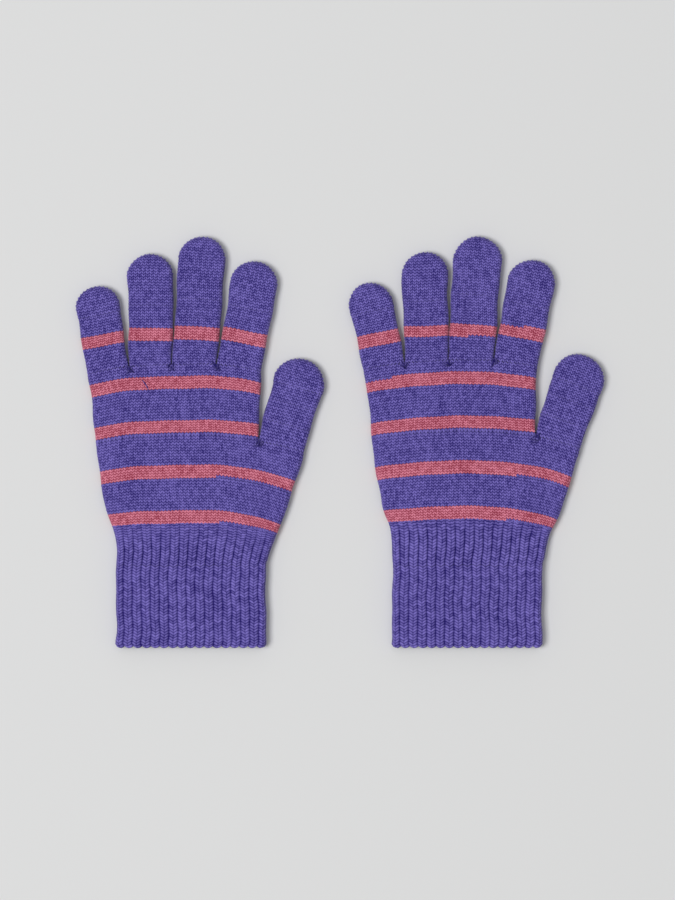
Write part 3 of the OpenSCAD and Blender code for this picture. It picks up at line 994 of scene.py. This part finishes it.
@dataclass
class RibbedCuff:
    """The ribbing: wide V ribs with grooves between them, a rounded hem, and its own inside.

    A rib is a dome with a cleft between the two legs of its stitches. Towards the wrist stripe
    the ribs fade into plain fabric, from one height over one length on each glove.
    """

    shape: HandShape
    loom: Loom
    edges: tuple[float, float] = (-36.1, 36.8)
    height: float = 8.0
    rib_length: float = 40.0
    ribs: int = 36
    columns: int = 10
    groove: float = 0.34
    relief: float = 0.40
    dome_half: float = 0.46
    cleft: float = 0.52
    cleft_half: float = 0.075
    valley: float = 0.16
    # how light the grooves between ribs are painted: painted shade
    groove_tone: float = 0.18
    fabric: float = 0.8
    inner_relief: float = 0.45
    leg_slope: float = 0.75
    leg_half: float = 0.38
    sway: float = 0.03
    hem: float = 0.62
    hem_roll: float = 1.5
    hem_pull: tuple[float, float] = (1.3, 2.6)
    flare: tuple[float, float] = (0.5, 9.0)
    scallop: float = 0.95
    scallop_reach: float = 3.2
    widen_over: float = 4.0
    fade: tuple[tuple[float, float], ...] = ((46.0, 15.0), (52.0, 10.0))
    fade_most: float = 0.60
    plain_wales: int = 46
    tuck: float = 0.6
    tuck_depth: float = 0.30
    fold_reach: float = 7.5

    def rib_relief(self, rib: Array, course: Array) -> tuple[Array, Array]:
        """Shape of the ribbing.

        Args:
            rib: Rib numbers.
            course: Course numbers.

        Returns:
            The rib's dome, from 0 in a groove to 1, and the height of the stitches on it.
        """
        across = rib - np.floor(rib)
        off = np.abs(across - 0.5)
        dome = np.sqrt(np.clip(1.0 - (off / self.dome_half) ** 5, 0.0, 1.0))
        cleft = 1.0 - self.cleft * np.exp(-((off / self.cleft_half) ** 2))
        return dome, cleft * Gauge.swell(course, self.valley)

    def slope(self, rib: Array) -> Array:
        """How far, in courses, the two legs of a rib's stitches slope."""
        across = rib - np.floor(rib)
        off = np.clip(np.abs(across - 0.5) / self.leg_half, 0.0, 1.0)
        return self.leg_slope * (off - 0.5)

    def ring(self, columns: int) -> tuple[Array, Array]:
        """Rib places round the cuff, with a rib on each fold, and the mask of the back."""
        front = np.arange(self.ribs // 2 * columns + 1) / columns
        return both_faces(front + 0.5)

    def outline(self, level: Array, lifted: bool) -> tuple[Array, Array]:
        """Left and right fold of the cuff, whose hem pulls in a little below a slight flare."""
        shape, (left, right) = self.shape, self.edges
        if lifted:
            ease = smooth_step((level - self.rib_length) / self.widen_over)
            return (left - (soft_lookup(level, shape.little_side) + left) * ease,
                    right + (soft_lookup(level, shape.thumb_side) - right) * ease)
        pull = self.hem_pull[0] * np.clip(1.0 - level / self.hem_pull[1], 0.0, 1.0) ** 2
        flare = self.flare[0] * smooth_step(1.0 - level / self.flare[1])
        return left + pull - flare, right - pull + 0.4 * flare

    def ribbing(self, y0: float, y1: float, first: int, lifted: bool) -> Skin:
        """A run of the ribbing, which fades into plain fabric below the wrist stripe.

        Args:
            y0: Height of its lower edge.
            y1: Height of its upper edge.
            first: Number of its first course.
            lifted: Whether it is the part that widens into the hand.

        Returns:
            The skin.
        """
        shape, gauge = self.shape, self.shape.gauge
        courses = gauge.courses_in(y1 - y0)
        rows = np.arange(courses * gauge.rows + 1) / gauge.rows
        ring, back = self.ring(self.columns * (2 if lifted else 1))
        rib = np.broadcast_to(ring, (len(rows), len(ring)))
        pitch = (y1 - y0) / courses
        level = y0 + rows[:, None] * pitch
        share = np.clip((level - self.rib_length) / (shape.wrist_stripe - self.rib_length), 0.0, 1.0)
        height = self.height + (shape.height - self.height) * share
        x0, x1 = self.outline(level, lifted)
        corner = shape.round + 0.0 * level
        length = section_length(x0, x1, height, corner, corner)
        turned = (rib - 0.5) / (self.ribs / 2.0)
        x, z, nx, nz = flat_section(turned * length, x0, x1, height, corner, corner)
        z, nz = turn_over(z, nz, height, back)
        sway = self.sway * np.sin(level / 5.0 + rib * 1.9)
        fade_from, fade_length = self.fade[shape.side.value]
        fade = self.fade_most * smooth_step((level - fade_from) / fade_length)
        wale = turned * self.plain_wales
        slope = self.slope(rib) * smooth_step(level / 3.0) * (1.0 - fade) + gauge.chevron_at(wale) * fade
        y = level + slope * pitch
        if lifted:
            y = shape.course(y, x)
        course = rows[:, None] + np.zeros_like(rib)
        plump = gauge.uneven(rib, course + first, back, 31 + shape.side.value)
        dome, stitch = self.rib_relief(rib + sway, course)
        stitch = np.clip((stitch + (gauge.plain_relief(wale, course) - stitch) * fade) * plump, 0.0, 1.1)
        dome = dome + (1.0 - dome) * fade
        sunk = (1.0 - dome) * (self.groove + self.relief) + dome * (1.0 - stitch) * self.relief
        deep = self.groove + self.relief
        points = shape.world(x, y, z, shape.lift * (share if lifted else 0.0 * share))
        normals = np.stack([nx, np.zeros_like(nx), nz], -1)
        # painted shade: the grooves between ribs and the clefts between the legs are painted darker
        tone = stitch * (self.groove_tone + (1.0 - self.groove_tone) * dome)
        return Skin(points, normals, rib + 0.0 * level, course + first + shape.yarn_start,
                    1.0 - sunk / deep, back, fold=self.ribs / 2.0 + 0.5, around=float(self.ribs),
                    depth=self.fabric, relief=deep, inner_relief=self.inner_relief, inner_step=2,
                    tone=tone)

    def cuff(self) -> bpy.types.Object:
        """The straight ribbing with its rolled hem."""
        side = self.shape.side.label
        skin = self.ribbing(0.0, self.rib_length, 0, False)
        low = skin.points[..., 1] - self.shape.y
        rib = skin.wale - np.floor(skin.wale)
        off = np.abs(rib - 0.5) * 2.0
        near = np.clip(1.0 - low / self.scallop_reach, 0.0, 1.0)
        skin.points[..., 1] += self.scallop * off**2 * near
        roll = np.clip(1.0 - low / self.hem_roll, 0.0, 1.0)
        skin.sink = self.hem * (1.0 - np.sqrt(np.clip(1.0 - roll**2, 0.0, 1.0)))
        skin.height = np.where(roll > 0.85, 0.55 + 0.0 * skin.height, skin.height)
        return self.loom.piece(f"{side}_cuff_ribbing", [skin], Yarn.RIB, f"{side}_cuff", f"{side}_cuff")

    def top(self) -> bpy.types.Object:
        """The ribbing that widens into the hand and tucks under the edge of the wrist stripe."""
        side, stripe = self.shape.side.label, self.shape.wrist_stripe
        skin = self.ribbing(self.rib_length, stripe + self.tuck, 30, True)
        level = np.linspace(self.rib_length, stripe + self.tuck, len(skin.points))[:, None]
        tucked = smooth_step((level - stripe + 0.1) / self.tuck)
        skin.sink = self.tuck_depth * tucked + 0.0 * skin.height
        piece = self.loom.piece(f"{side}_cuff_top_knit", [skin], Yarn.RIB, None, f"{side}_cuff_top",
                                weld=True)
        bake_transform(piece)
        return piece

    def build(self) -> list[bpy.types.Object]:
        """Builds the cuff and its top, and dresses the elastic threads inside."""
        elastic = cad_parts[f"{self.shape.side.label}_cuff_elastic"]
        self.loom.dyes.dress(elastic, Yarn.ELASTIC)
        return [self.cuff(), self.top()]


# --------------------------------------------------------------------------------------------
# Fingers and thumb
# --------------------------------------------------------------------------------------------


@dataclass
class Digit:
    """A finger or the thumb: a root band out of the hand, straight bands, and a closed tip.

    The root band starts between the corners root_x with nearly square edges, a small gap from its
    neighbours, and rounds off on its way up. A wall is a wale on a side that was open before the
    hand split. The lean is how far the wales turn in at the tip.
    """

    shape: HandShape
    loom: Loom
    name: str
    root: tuple[float, float]
    tilt: float
    width: float
    length: float
    split: float
    root_x: tuple[float, float]
    root_end: float
    fold: float
    fold_half: float
    wall_left: int
    wall_right: int
    top_wales: int
    root_gap: float = 0.15
    root_corner: float = 0.25
    root_rounding: float = 1.6
    rim_bump: float = 2.05
    rim_width: float = 1.7
    rim_level: float = 0.52
    rim_wave: float = 1.08
    rim_lowest: float = -0.5
    rim_highest: float = 1.6
    tip_ease: float = 9.0
    lean: float = 0.55
    striped: bool = False
    first: int = 0

    @property
    def wales(self) -> int:
        """Wales on one face, folds included."""
        return self.top_wales + self.wall_left + self.wall_right

    def girth(self, d: Array) -> Array:
        """Width of the digit by the distance from its root."""
        share = [0.0, 0.20, 0.45, 0.65, 0.85, 1.0]
        width = [0.975, 0.980, 0.980, 0.990, 1.010, 1.015]
        return self.width * np.interp(np.asarray(d) / self.length, share, width)

    def place(self, s: Array, d: Array) -> tuple[Array, Array]:
        """Moves digit places, across and along, into the glove's frame."""
        sine, cosine = math.sin(self.tilt), math.cos(self.tilt)
        return self.root[0] + d * sine + s * cosine, self.root[1] + d * cosine - s * sine

    def turn(self, nx: Array, nd: Array, nz: Array) -> Array:
        """Turns normals from the digit's frame into the glove's."""
        sine, cosine = math.sin(self.tilt), math.cos(self.tilt)
        return np.stack([nx * cosine + nd * sine, nd * cosine - nx * sine, nz], -1)

    def grid(self, y0: float, y1: float,
             courses: int = 0) -> tuple[Array, Array, Array, Array, float, int]:
        """Rows and columns of a band between two distances from the root.

        Args:
            y0: Distance of the lower edge.
            y1: Distance of the upper edge.
            courses: How many courses it has; as many as the gauge gives if left out.

        Returns:
            Wale numbers, the back's mask, row numbers in courses, levels, pitch and courses.
        """
        gauge = self.shape.gauge
        courses = courses or gauge.courses_in(y1 - y0)
        rows = np.arange(courses * gauge.rows + 1) / gauge.rows
        front = np.arange(self.wales * gauge.columns + 1) / gauge.columns
        ring, back = both_faces(front)
        pitch = (y1 - y0) / courses
        wale = np.broadcast_to(ring, (len(rows), len(ring)))
        stitch = rows[:, None] + np.zeros_like(wale)
        return wale, back, stitch, y0 + rows[:, None] * pitch, pitch, courses

    def finish_skin(self, x: Array, y: Array, z: Array, normals: Array, wale: Array, stitch: Array,
                    back: Array, height: Array | None = None, closed: bool = False) -> Skin:
        """Puts a band's arrays together into a skin with its stitches."""
        shape, gauge = self.shape, self.shape.gauge
        seed = 50 + 7 * shape.side.value + len(self.name)
        plump = gauge.uneven(wale, stitch + self.first, back, seed)
        if height is None:
            height = gauge.plain_relief(wale, stitch) * plump
        edge = (stitch == 0) | ((stitch == stitch.max()) & (not closed))
        height = np.where(edge, gauge.edge_relief(wale), height)
        height = np.clip(height, self.rim_lowest, self.rim_highest if closed else gauge.plumpest)
        return Skin(shape.world(x, y, z), normals, wale, stitch + self.first + shape.yarn_start, height,
                    back, fold=float(self.wales), around=2.0 * self.wales, depth=gauge.fabric,
                    relief=gauge.relief, closed_end=closed)

    def root_band(self) -> Skin:
        """The band that turns the hand's courses into the digit's own."""
        shape, gauge = self.shape, self.shape.gauge
        wale, back, stitch, _, pitch, courses = self.grid(0.0, self.root_end)
        share = stitch / courses
        rounding = smooth_step(share * self.root_rounding)
        outer_l, outer_r = self.wall_left == 0, self.wall_right == 0
        r, half_up = shape.round, shape.half
        left = r if outer_l else r * rounding + self.root_corner * (1.0 - rounding)
        right = r if outer_r else r * rounding + self.root_corner * (1.0 - rounding)
        left, right = left + 0.0 * share, right + 0.0 * share
        xa = self.root_x[0] + (0.0 if outer_l else self.root_gap)
        xb = self.root_x[1] - (0.0 if outer_r else self.root_gap)
        lowest = section_length(xa, xb, shape.height, left, right)
        even = lowest * wale / self.wales
        start = 0.0 * left if outer_l else half_up + (math.pi / 2.0 - 1.0) * left
        stop = lowest - (0.0 if outer_r else half_up + (math.pi / 2.0 - 1.0) * right)
        first, last = float(self.wall_left), float(self.wales - self.wall_right)
        matched = start + (stop - start) * (wale - first) / (last - first)
        if not outer_l:
            matched = np.where(wale < first, start * wale / first, matched)
        if not outer_r:
            matched = np.where(wale > last, stop + (lowest - stop) * (wale - last) / (self.wales - last),
                               matched)
        arc = matched + (even - matched) * rounding
        x_low, z_low, nx, nz = flat_section(arc, xa, xb, shape.height, left, right)
        half = self.girth(self.root_end) / 2.0
        full = section_length(-half, half, shape.height, r, r)
        s, z_high, nx_h, nz_h = flat_section(full * wale / self.wales, -half, half, shape.height,
                                             r + 0.0 * share, r + 0.0 * share)
        slope = gauge.chevron_at(wale) * pitch * gauge.calm(stitch, courses, (False, self.striped))
        y_low = shape.course(self.split, x_low)
        x_high, y_high = self.place(s, self.root_end + 0.0 * s)
        x = x_low + (x_high - x_low) * share
        y = y_low + (y_high - y_low) * share + slope
        z = z_low + (z_high - z_low) * share
        nx, nz = nx + (nx_h - nx) * share, nz + (nz_h - nz) * share
        size = np.sqrt(nx**2 + nz**2)
        z, nz = turn_over(z, nz / size, shape.height, back)
        return self.finish_skin(x, y, z, self.turn(nx / size, 0.0 * nx, nz), wale, stitch, back)

    def straight_band(self, y0: float, y1: float, courses: int = 0, ends: Ends = (False, False)) -> Skin:
        """A band straight across the digit; ends tells where the colour changes."""
        shape, gauge = self.shape, self.shape.gauge
        wale, back, stitch, level, pitch, _ = self.grid(y0, y1, courses)
        half = self.girth(level) / 2.0
        r = shape.round + 0.0 * half
        arc = section_length(-half, half, shape.height, r, r) * wale / self.wales
        s, z, nx, nz = flat_section(arc, -half, half, shape.height, r, r)
        z, nz = turn_over(z, nz, shape.height, back)
        slope = gauge.chevron_at(wale) * pitch * gauge.calm(stitch, stitch.max(), ends)
        x, y = self.place(s, level + slope)
        return self.finish_skin(x, y, z, self.turn(nx, 0.0 * nx, nz), wale, stitch, back)

    def tip(self, y0: float) -> Skin:
        """The closed end: wales that run up and lean in to a bumpy rim where the two faces meet."""
        shape, gauge = self.shape, self.shape.gauge
        radius = self.girth(self.length) / 2.0
        centre = self.length - radius
        wall = shape.half - shape.round
        spread = shape.half_wrap(radius)
        wale, back, stitch, level, pitch, _ = self.grid(y0, centre + spread + gauge.course)
        half = self.girth(np.minimum(level, centre)) / 2.0
        half = half + (radius - half) * smooth_step((level - centre + self.tip_ease) / self.tip_ease)
        wrap = shape.half_wrap(half)
        s = wrap * (2.0 * wale / self.wales - 1.0)
        over = level + gauge.chevron_at(wale) * pitch - centre
        size = np.abs(s)
        q = size * (1.0 - self.lean) / np.maximum(spread - size * self.lean, 1e-6)
        most = spread * np.sqrt(np.clip(1.0 - q**2, 0.0, 1.0))
        rise = np.clip(over, None, most)
        dome = np.sqrt(np.clip(1.0 - (np.clip(rise, 0.0, None) / spread) ** 2, 0.0, 1.0))
        s = s * (1.0 - self.lean * (1.0 - dome))
        up = np.clip(rise, 0.0, None)
        reach = np.hypot(s, up)
        reach = np.minimum(reach, np.where(up > 0.0, spread, wrap))
        limit = np.where(up > 0.0, radius, half) - shape.round
        turn = np.clip((reach - limit) / shape.round, 0.0, math.pi / 2.0)
        out = np.where(reach > limit, limit + shape.round * np.sin(turn), reach)
        ratio = out / np.maximum(reach, 1e-6)
        down = np.clip(reach - limit - math.pi / 2.0 * shape.round, 0.0, wall)
        z = shape.height - shape.round + shape.round * np.cos(turn) - down
        across = np.where(reach > 0.0, s / np.maximum(reach, 1e-6), 0.0)
        ahead = np.where(reach > 0.0, up / np.maximum(reach, 1e-6), 0.0)
        nx, nd, nz = across * np.sin(turn), ahead * np.sin(turn), np.cos(turn)
        z, nz = turn_over(z, nz, shape.height, back)
        x, y = self.place(s * ratio, centre + np.where(up > 0.0, up * ratio, rise))
        rim_gap = spread - reach
        rim = smooth_step((self.rim_width - rim_gap) / 0.7) * smooth_step((rise + 1.0) / 3.0)
        around = np.arctan2(up, s) * radius / self.rim_bump
        bump = self.rim_level + self.rim_wave * np.cos(2.0 * math.pi * around)
        seed = 90 + 7 * shape.side.value + len(self.name)
        plain = gauge.plain_relief(wale, stitch) * gauge.uneven(wale, stitch, back, seed)
        plain = np.where(over > most, gauge.plain_relief(wale, 0.5 + 0.0 * wale), plain)
        height = plain + (bump - plain) * rim
        return self.finish_skin(x, y, z, self.turn(nx, nd, nz), wale, stitch, back, height, True)

    def bend(self, piece: bpy.types.Object, joint: str, parent: str, child: str, reach: float) -> None:
        """Bakes a band's placement into its mesh, leaving it tied to no body."""
        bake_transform(piece)


@dataclass
class Finger(Digit):
    """One of the four fingers, with its stripe."""

    stripe_end: float = 18.4
    stripe_course: float = 1.28
    jog: tuple[int, float, float] | None = None

    def build(self) -> list[bpy.types.Object]:
        """Builds the finger's root, stripe, knuckle and tip."""
        side, name = self.shape.side.label, self.name
        label = f"{side}_{name}"
        hand, finger, end = f"{side}_hand", f"{label}_finger", f"{label}_fingertip"
        top = self.stripe_end
        make = self.loom.piece
        self.first = 80
        root = make(f"{label}_root_knit", [self.root_band()], Yarn.PURPLE, None, f"{label}_base_band")
        self.bend(root, f"{label}_base_fold", hand, finger, 4.0)
        self.first = 90
        courses = round((top - self.root_end) / self.stripe_course)
        band = self.straight_band(self.root_end, top, courses, (True, True))
        if self.jog is not None:
            course, start, stop = self.jog
            HandTube.jog(band, course % courses, start, stop)
        stripe = make(f"{label}_stripe_knit", [band], Yarn.PINK, finger, f"{label}_stripe")
        self.first = 94
        above = self.straight_band(top, self.fold + self.fold_half, ends=(True, False))
        knuckle = make(f"{label}_knuckle_knit", [above], Yarn.PURPLE, None, f"{label}_knuckle_band")
        self.bend(knuckle, f"{label}_knuckle_fold", finger, end, self.fold_half - 0.5)
        self.first = 104
        tip = make(f"{label}_tip_knit", [self.tip(self.fold + self.fold_half)], Yarn.PURPLE, end,
                   f"{label}_tip", True)
        return [root, stripe, knuckle, tip]


@dataclass
class Thumb(Digit):
    """The thumb, which has no stripe."""

    def build(self) -> list[bpy.types.Object]:
        """Builds the thumb's root, tube, knuckle and tip."""
        side = self.shape.side.label
        hand, thumb, end = f"{side}_hand", f"{side}_thumb", f"{side}_thumbtip"
        low, high = self.fold - self.fold_half, self.fold + self.fold_half
        make = self.loom.piece
        self.first = 50
        root = make(f"{side}_thumb_root_knit", [self.root_band()], Yarn.PURPLE, None,
                    f"{side}_thumb_base_band")
        self.bend(root, f"{side}_thumb_base_fold", hand, thumb, 3.8)
        self.first = 58
        tube = make(f"{side}_thumb_tube_knit", [self.straight_band(self.root_end, low)], Yarn.PURPLE,
                    thumb, f"{side}_thumb_tube")
        self.first = 66
        knuckle = make(f"{side}_thumb_knuckle_knit", [self.straight_band(low, high)], Yarn.PURPLE, None,
                       f"{side}_thumb_knuckle_band")
        self.bend(knuckle, f"{side}_thumb_knuckle_fold", thumb, end, self.fold_half - 0.5)
        self.first = 74
        tip = make(f"{side}_thumb_tip_knit", [self.tip(high)], Yarn.PURPLE, end, f"{side}_thumb_tip",
                   True)
        return [root, tube, knuckle, tip]


# --------------------------------------------------------------------------------------------
# Darning
# --------------------------------------------------------------------------------------------


@dataclass
class CrotchDarning:
    """The small darned knots that close the corners between the fingers and at the thumb."""

    shape: HandShape
    loom: Loom
    yarn: float = 0.62
    loops: int = 7
    reach: float = 2.6
    spread: tuple[float, float] = (2.4, 2.8)
    drop: float = 1.4
    arch: float = 0.50
    pile: float = 0.08
    ply: float = 0.9
    thread: tuple[tuple[float, float], tuple[float, float]] = ((-23.6, 130.6), (3.2, -4.9))
    sides: int = 8
    steps: int = 14

    def strand(self, points: Array, thick: float) -> tuple[Array, Array, Array]:
        """A short length of yarn as a closed tube.

        Args:
            points: Its middle line.
            thick: Its diameter.

        Returns:
            Points, quads and relief values.
        """
        ahead = np.gradient(points, axis=0)
        ahead /= np.linalg.norm(ahead, axis=1, keepdims=True)
        up = np.array([0.0, 0.0, 1.0])
        across = np.cross(ahead, up)
        across /= np.maximum(np.linalg.norm(across, axis=1, keepdims=True), 1e-6)
        over = np.cross(across, ahead)
        turn = np.arange(self.sides) * 2.0 * math.pi / self.sides
        taper = np.sin(np.linspace(0.0, math.pi, len(points))) ** 0.35
        twist = 1.0 + 0.14 * np.cos(2.0 * turn[None, :] + np.arange(len(points))[:, None] * 1.3)
        radius = thick / 2.0 * np.maximum(taper, 0.12)[:, None] * twist
        ring = (across[:, None, :] * np.cos(turn)[None, :, None]
                + over[:, None, :] * np.sin(turn)[None, :, None])
        verts = points[:, None, :] + ring * radius[..., None]
        number = np.arange(verts.shape[0] * self.sides).reshape(-1, self.sides)
        quads = [Loom.strip(number[j + 1], number[j]) for j in range(len(points) - 1)]
        for end, flip in ((number[0], False), (number[-1], True)):
            half = self.sides // 2
            for k in range(half - 1):
                quad = [end[k], end[k + 1], end[self.sides - 2 - k], end[self.sides - 1 - k]]
                quads.append(np.array([quad[::-1] if flip else quad]))
        # the colour follows this relief as painted shade and highlight along the ply
        relief = 0.35 + 0.65 * (twist - 0.86) / 0.28
        return verts.reshape(-1, 3), np.concatenate(quads), relief.ravel()

    def knot(self, x: float, y: float, rng: np.random.Generator) -> list[tuple[Array, Array, Array]]:
        """Strands that cross one corner, on the upper and the lower face."""
        strands = []
        for top in (True, False):
            for k in range(self.loops):
                angle = rng.uniform(-1.1, 1.1) + (0.0 if k % 2 else math.pi / 2.0)
                span = self.reach * rng.uniform(0.55, 1.0)
                t = np.linspace(-1.0, 1.0, self.steps)
                bow = rng.uniform(-0.5, 0.5)
                dx = t * span * math.cos(angle) - bow * (1 - t**2) * math.sin(angle)
                dy = t * span * math.sin(angle) * 0.8 + bow * (1 - t**2) * math.cos(angle)
                lift = self.arch * (1.0 - t**2) + self.pile * k
                level = self.shape.height - self.yarn * 0.35 + lift
                z = level if top else self.shape.height - level
                z = np.clip(z, self.yarn * 0.6, self.shape.height + 1.0)
                shift = rng.uniform(-0.5, 0.5, 2) * self.spread
                line = self.shape.world(x + dx + shift[0], y + dy + shift[1] - self.drop, z + 0.0 * t)
                points, quads, relief = self.strand(line, self.yarn * rng.uniform(0.85, 1.1))
                # every other loop is painted at its darkest, as painted shade among the crossing strands
                strands.append((points, quads, relief * (0.9 if k % 2 else 0.0)))
        return strands

    def stray_thread(self) -> tuple[Array, Array, Array]:
        """The short end of purple yarn that lies across the left glove's top stripe."""
        t = np.linspace(0.0, 1.0, self.steps)
        x, y = self.thread[0]
        dx, dy = self.thread[1]
        bow = 0.35 * np.sin(math.pi * t)
        z = self.shape.height + 0.05 + 0.1 * bow
        return self.strand(self.shape.world(x + dx * t + bow, y + dy * t, z), 0.5)

    def build(self) -> bpy.types.Object:
        """Builds the glove's four knots as one piece."""
        shape, side = self.shape, self.shape.side.label
        rng = np.random.default_rng(77 + shape.side.value)
        spots = [(x, float(shape.course(shape.finger_split, x)) + 0.3) for x in shape.crotch_x[1:4]]
        x = shape.thumb_crotch_x + 0.3
        spots.append((x, float(shape.course(shape.thumb_split, x)) + 0.5))
        verts, quads, relief, start = [], [], [], 0
        strands = [strand for spot in spots for strand in self.knot(*spot, rng)]
        if shape.side is Side.LEFT:
            strands.append(self.stray_thread())
        for points, faces, heights in strands:
            verts.append(points)
            quads.append(faces + start)
            relief.append(heights)
            start += len(points)
        points, faces = np.concatenate(verts), np.concatenate(quads)
        mesh = Loom.mesh_from(f"{side}_crotch_darning", points * MM, faces, np.ones(len(faces), bool))
        places = (points[:, :2] / self.ply)[faces]
        Loom.paint(mesh, places, np.concatenate(relief), np.zeros(len(faces)))
        return self.loom.show(mesh, Yarn.DARNING, f"{side}_hand", f"{side}_crotch_stitches")


# --------------------------------------------------------------------------------------------
# A glove, the studio and the whole
# --------------------------------------------------------------------------------------------


@dataclass
class Glove:
    """One glove of the pair.

    Where a size differs between the gloves, it is given for the left and then for the right one,
    and a row of four is for the fingers from the little one to the index finger.
    """

    side: Side
    loom: Loom
    fingers: tuple[str, ...] = ("little", "ring", "middle", "index")
    finger_width: tuple[tuple[float, ...], ...] = ((21.2, 22.2, 22.8, 22.6), (21.4, 22.4, 23.5, 23.0))
    splay: tuple[tuple[float, ...], ...] = ((-9.6, 0.0, 4.0, 10.2), (-12.2, -1.2, 3.9, 11.6))
    stripes: tuple[tuple[tuple[float, float], ...], ...] = (
        ((11.6, 17.4), (11.8, 18.1), (11.7, 18.3), (11.5, 17.9)),
        ((10.0, 16.4), (11.9, 17.2), (10.8, 17.2), (12.2, 18.6)))
    jogs: tuple[dict[str, tuple[int, float, float]], ...] = (
        {}, {"middle": (0, 6.0, 80.0), "index": (-1, -1.0, 6.5)})
    fold_at: tuple[float, ...] = (22.8, 25.0, 27.5, 24.5)
    fold_half: float = 4.2
    tip_drop: tuple[tuple[float, ...], ...] = ((24.0, 8.3, 0.0, 11.7), (22.5, 7.3, 0.0, 11.2))
    glove_length: float = 200.0
    thumb_root: tuple[float, float] = (43.8, 99.0)
    thumb_splay: tuple[float, float] = (16.5, 20.0)
    thumb_length: tuple[float, float] = (43.0, 43.8)
    thumb_width: float = 24.6
    thumb_root_end: float = 10.0
    thumb_fold_at: float = 24.4

    def finger(self, f: int, shape: HandShape) -> Finger:
        """Sets out one finger from the hand's knuckle line and its own length."""
        which = self.side.value
        xa, xb = shape.crotch_x[f], shape.crotch_x[f + 1]
        x = (xa + xb) / 2.0
        if f == 0:
            xa = -float(soft_lookup(shape.finger_split, shape.little_side))
        if f == len(self.fingers) - 1:
            xb = float(soft_lookup(shape.finger_split, shape.index_side))
        root = (x, float(shape.course(shape.finger_split, x)))
        tilt = math.radians(self.splay[which][f])
        width = self.finger_width[which][f]
        end = self.glove_length - shape.lift - self.tip_drop[which][f]
        length = (end - root[1] - width / 2.0) / math.cos(tilt) + width / 2.0
        return Finger(shape, self.loom, self.fingers[f], root, tilt, width, length, shape.finger_split,
                      (xa, xb), self.stripes[which][f][0], self.fold_at[f], self.fold_half, int(f > 0),
                      int(f < 3), shape.finger_wales, striped=True, stripe_end=self.stripes[which][f][1],
                      jog=self.jogs[which].get(self.fingers[f]))

    def thumb(self, shape: HandShape) -> Thumb:
        """Sets out the thumb."""
        which = self.side.value
        wales = shape.face_wales - shape.thumb_crotch_wale
        edge = float(soft_lookup(shape.thumb_split, shape.thumb_side))
        return Thumb(shape, self.loom, "thumb", self.thumb_root, math.radians(self.thumb_splay[which]),
                     self.thumb_width, self.thumb_length[which], shape.thumb_split,
                     (shape.thumb_crotch_x, edge), self.thumb_root_end, self.thumb_fold_at,
                     self.fold_half, 1, 0, wales)

    def build(self) -> list[bpy.types.Object]:
        """Builds the whole glove.

        Returns:
            Its pieces.
        """
        shape = HandShape(self.side, Gauge())
        pieces = RibbedCuff(shape, self.loom).build()
        pieces += HandTube(shape, self.loom).build()
        for f in range(len(self.fingers)):
            pieces += self.finger(f, shape).build()
        pieces += self.thumb(shape).build()
        pieces.append(CrotchDarning(shape, self.loom).build())
        return pieces


@dataclass
class Studio:
    """The pale table, the soft light from the left and the camera straight above."""

    view_width: float = 0.3285
    view_centre: tuple[float, float] = (-0.0007, -0.0037)
    aspect: float = 900.0 / 675.0
    camera_height: float = 2.2
    subject_height: float = 0.0036
    sensor: float = 36.0
    floor_size: float = 3.0
    paper: tuple[float, float, float] = (0.735, 0.738, 0.738)
    lights: tuple[tuple[str, tuple[float, float, float], float, float], ...] = (
        ("key", (-1.7, -0.20, 4.1), 1.6, 117.0), ("fill", (0.2, 0.6, 5.0), 3.5, 33.0))
    surroundings: float = 0.315

    def floor(self) -> None:
        """Adds the table."""
        half = self.floor_size / 2.0
        mesh = bpy.data.meshes.new("table_top")
        corners = [(-half, -half, 0.0), (half, -half, 0.0), (half, half, 0.0), (-half, half, 0.0)]
        mesh.from_pydata(corners, [], [(0, 1, 2, 3)])
        table = bpy.data.objects.new("table_top", mesh)
        table.location.z = -0.0002
        bpy.context.scene.collection.objects.link(table)
        material = bpy.data.materials.new("table_paper")
        material.use_nodes = True
        shader = material.node_tree.nodes["Principled BSDF"]
        shader.inputs["Base Color"].default_value = (*self.paper, 1.0)
        shader.inputs["Roughness"].default_value = 0.95
        shader.inputs["Specular IOR Level"].default_value = 0.1
        mesh.materials.append(material)

    def light(self, name: str, place: tuple[float, float, float], size: float, power: float) -> None:
        """Adds one square soft light that looks at the gloves."""
        data = bpy.data.lights.new(name, "AREA")
        data.shape, data.size, data.energy = "SQUARE", size, power
        lamp = bpy.data.objects.new(name, data)
        lamp.location = place
        lamp.rotation_euler = (-Vector(place)).to_track_quat("-Z", "Y").to_euler()
        bpy.context.scene.collection.objects.link(lamp)

    def camera(self) -> None:
        """Adds the camera."""
        data = bpy.data.cameras.new("camera")
        distance = self.camera_height - self.subject_height
        data.sensor_fit, data.sensor_width = "AUTO", self.sensor
        data.lens = self.sensor * distance / (self.view_width * self.aspect)
        data.clip_start, data.clip_end = 0.01, 50.0
        camera = bpy.data.objects.new("camera", data)
        camera.location = (*self.view_centre, self.camera_height)
        bpy.context.scene.collection.objects.link(camera)
        bpy.context.scene.camera = camera

    def build(self) -> None:
        """Builds the table, the lights, the surroundings and the camera."""
        self.floor()
        for name, place, size, power in self.lights:
            self.light(name, place, size, power)
        world = bpy.data.worlds.new("surroundings")
        world.use_nodes = True
        background = world.node_tree.nodes["Background"]
        background.inputs["Color"].default_value = (1.0, 1.0, 1.0, 1.0)
        background.inputs["Strength"].default_value = self.surroundings
        bpy.context.scene.world = world
        bpy.context.scene.view_settings.view_transform = "Standard"
        self.camera()


def main() -> None:
    """Builds the studio and both gloves."""
    logging.basicConfig(level=logging.INFO, format="%(name)s: %(message)s")
    Studio().build()
    loom = Loom(Dyehouse())
    for side in Side:
        pieces = Glove(side, loom).build()
        log.info("%s glove: %d pieces", side.label, len(pieces))
    bpy.context.view_layer.update()


if __name__ == "__main__":
    main()
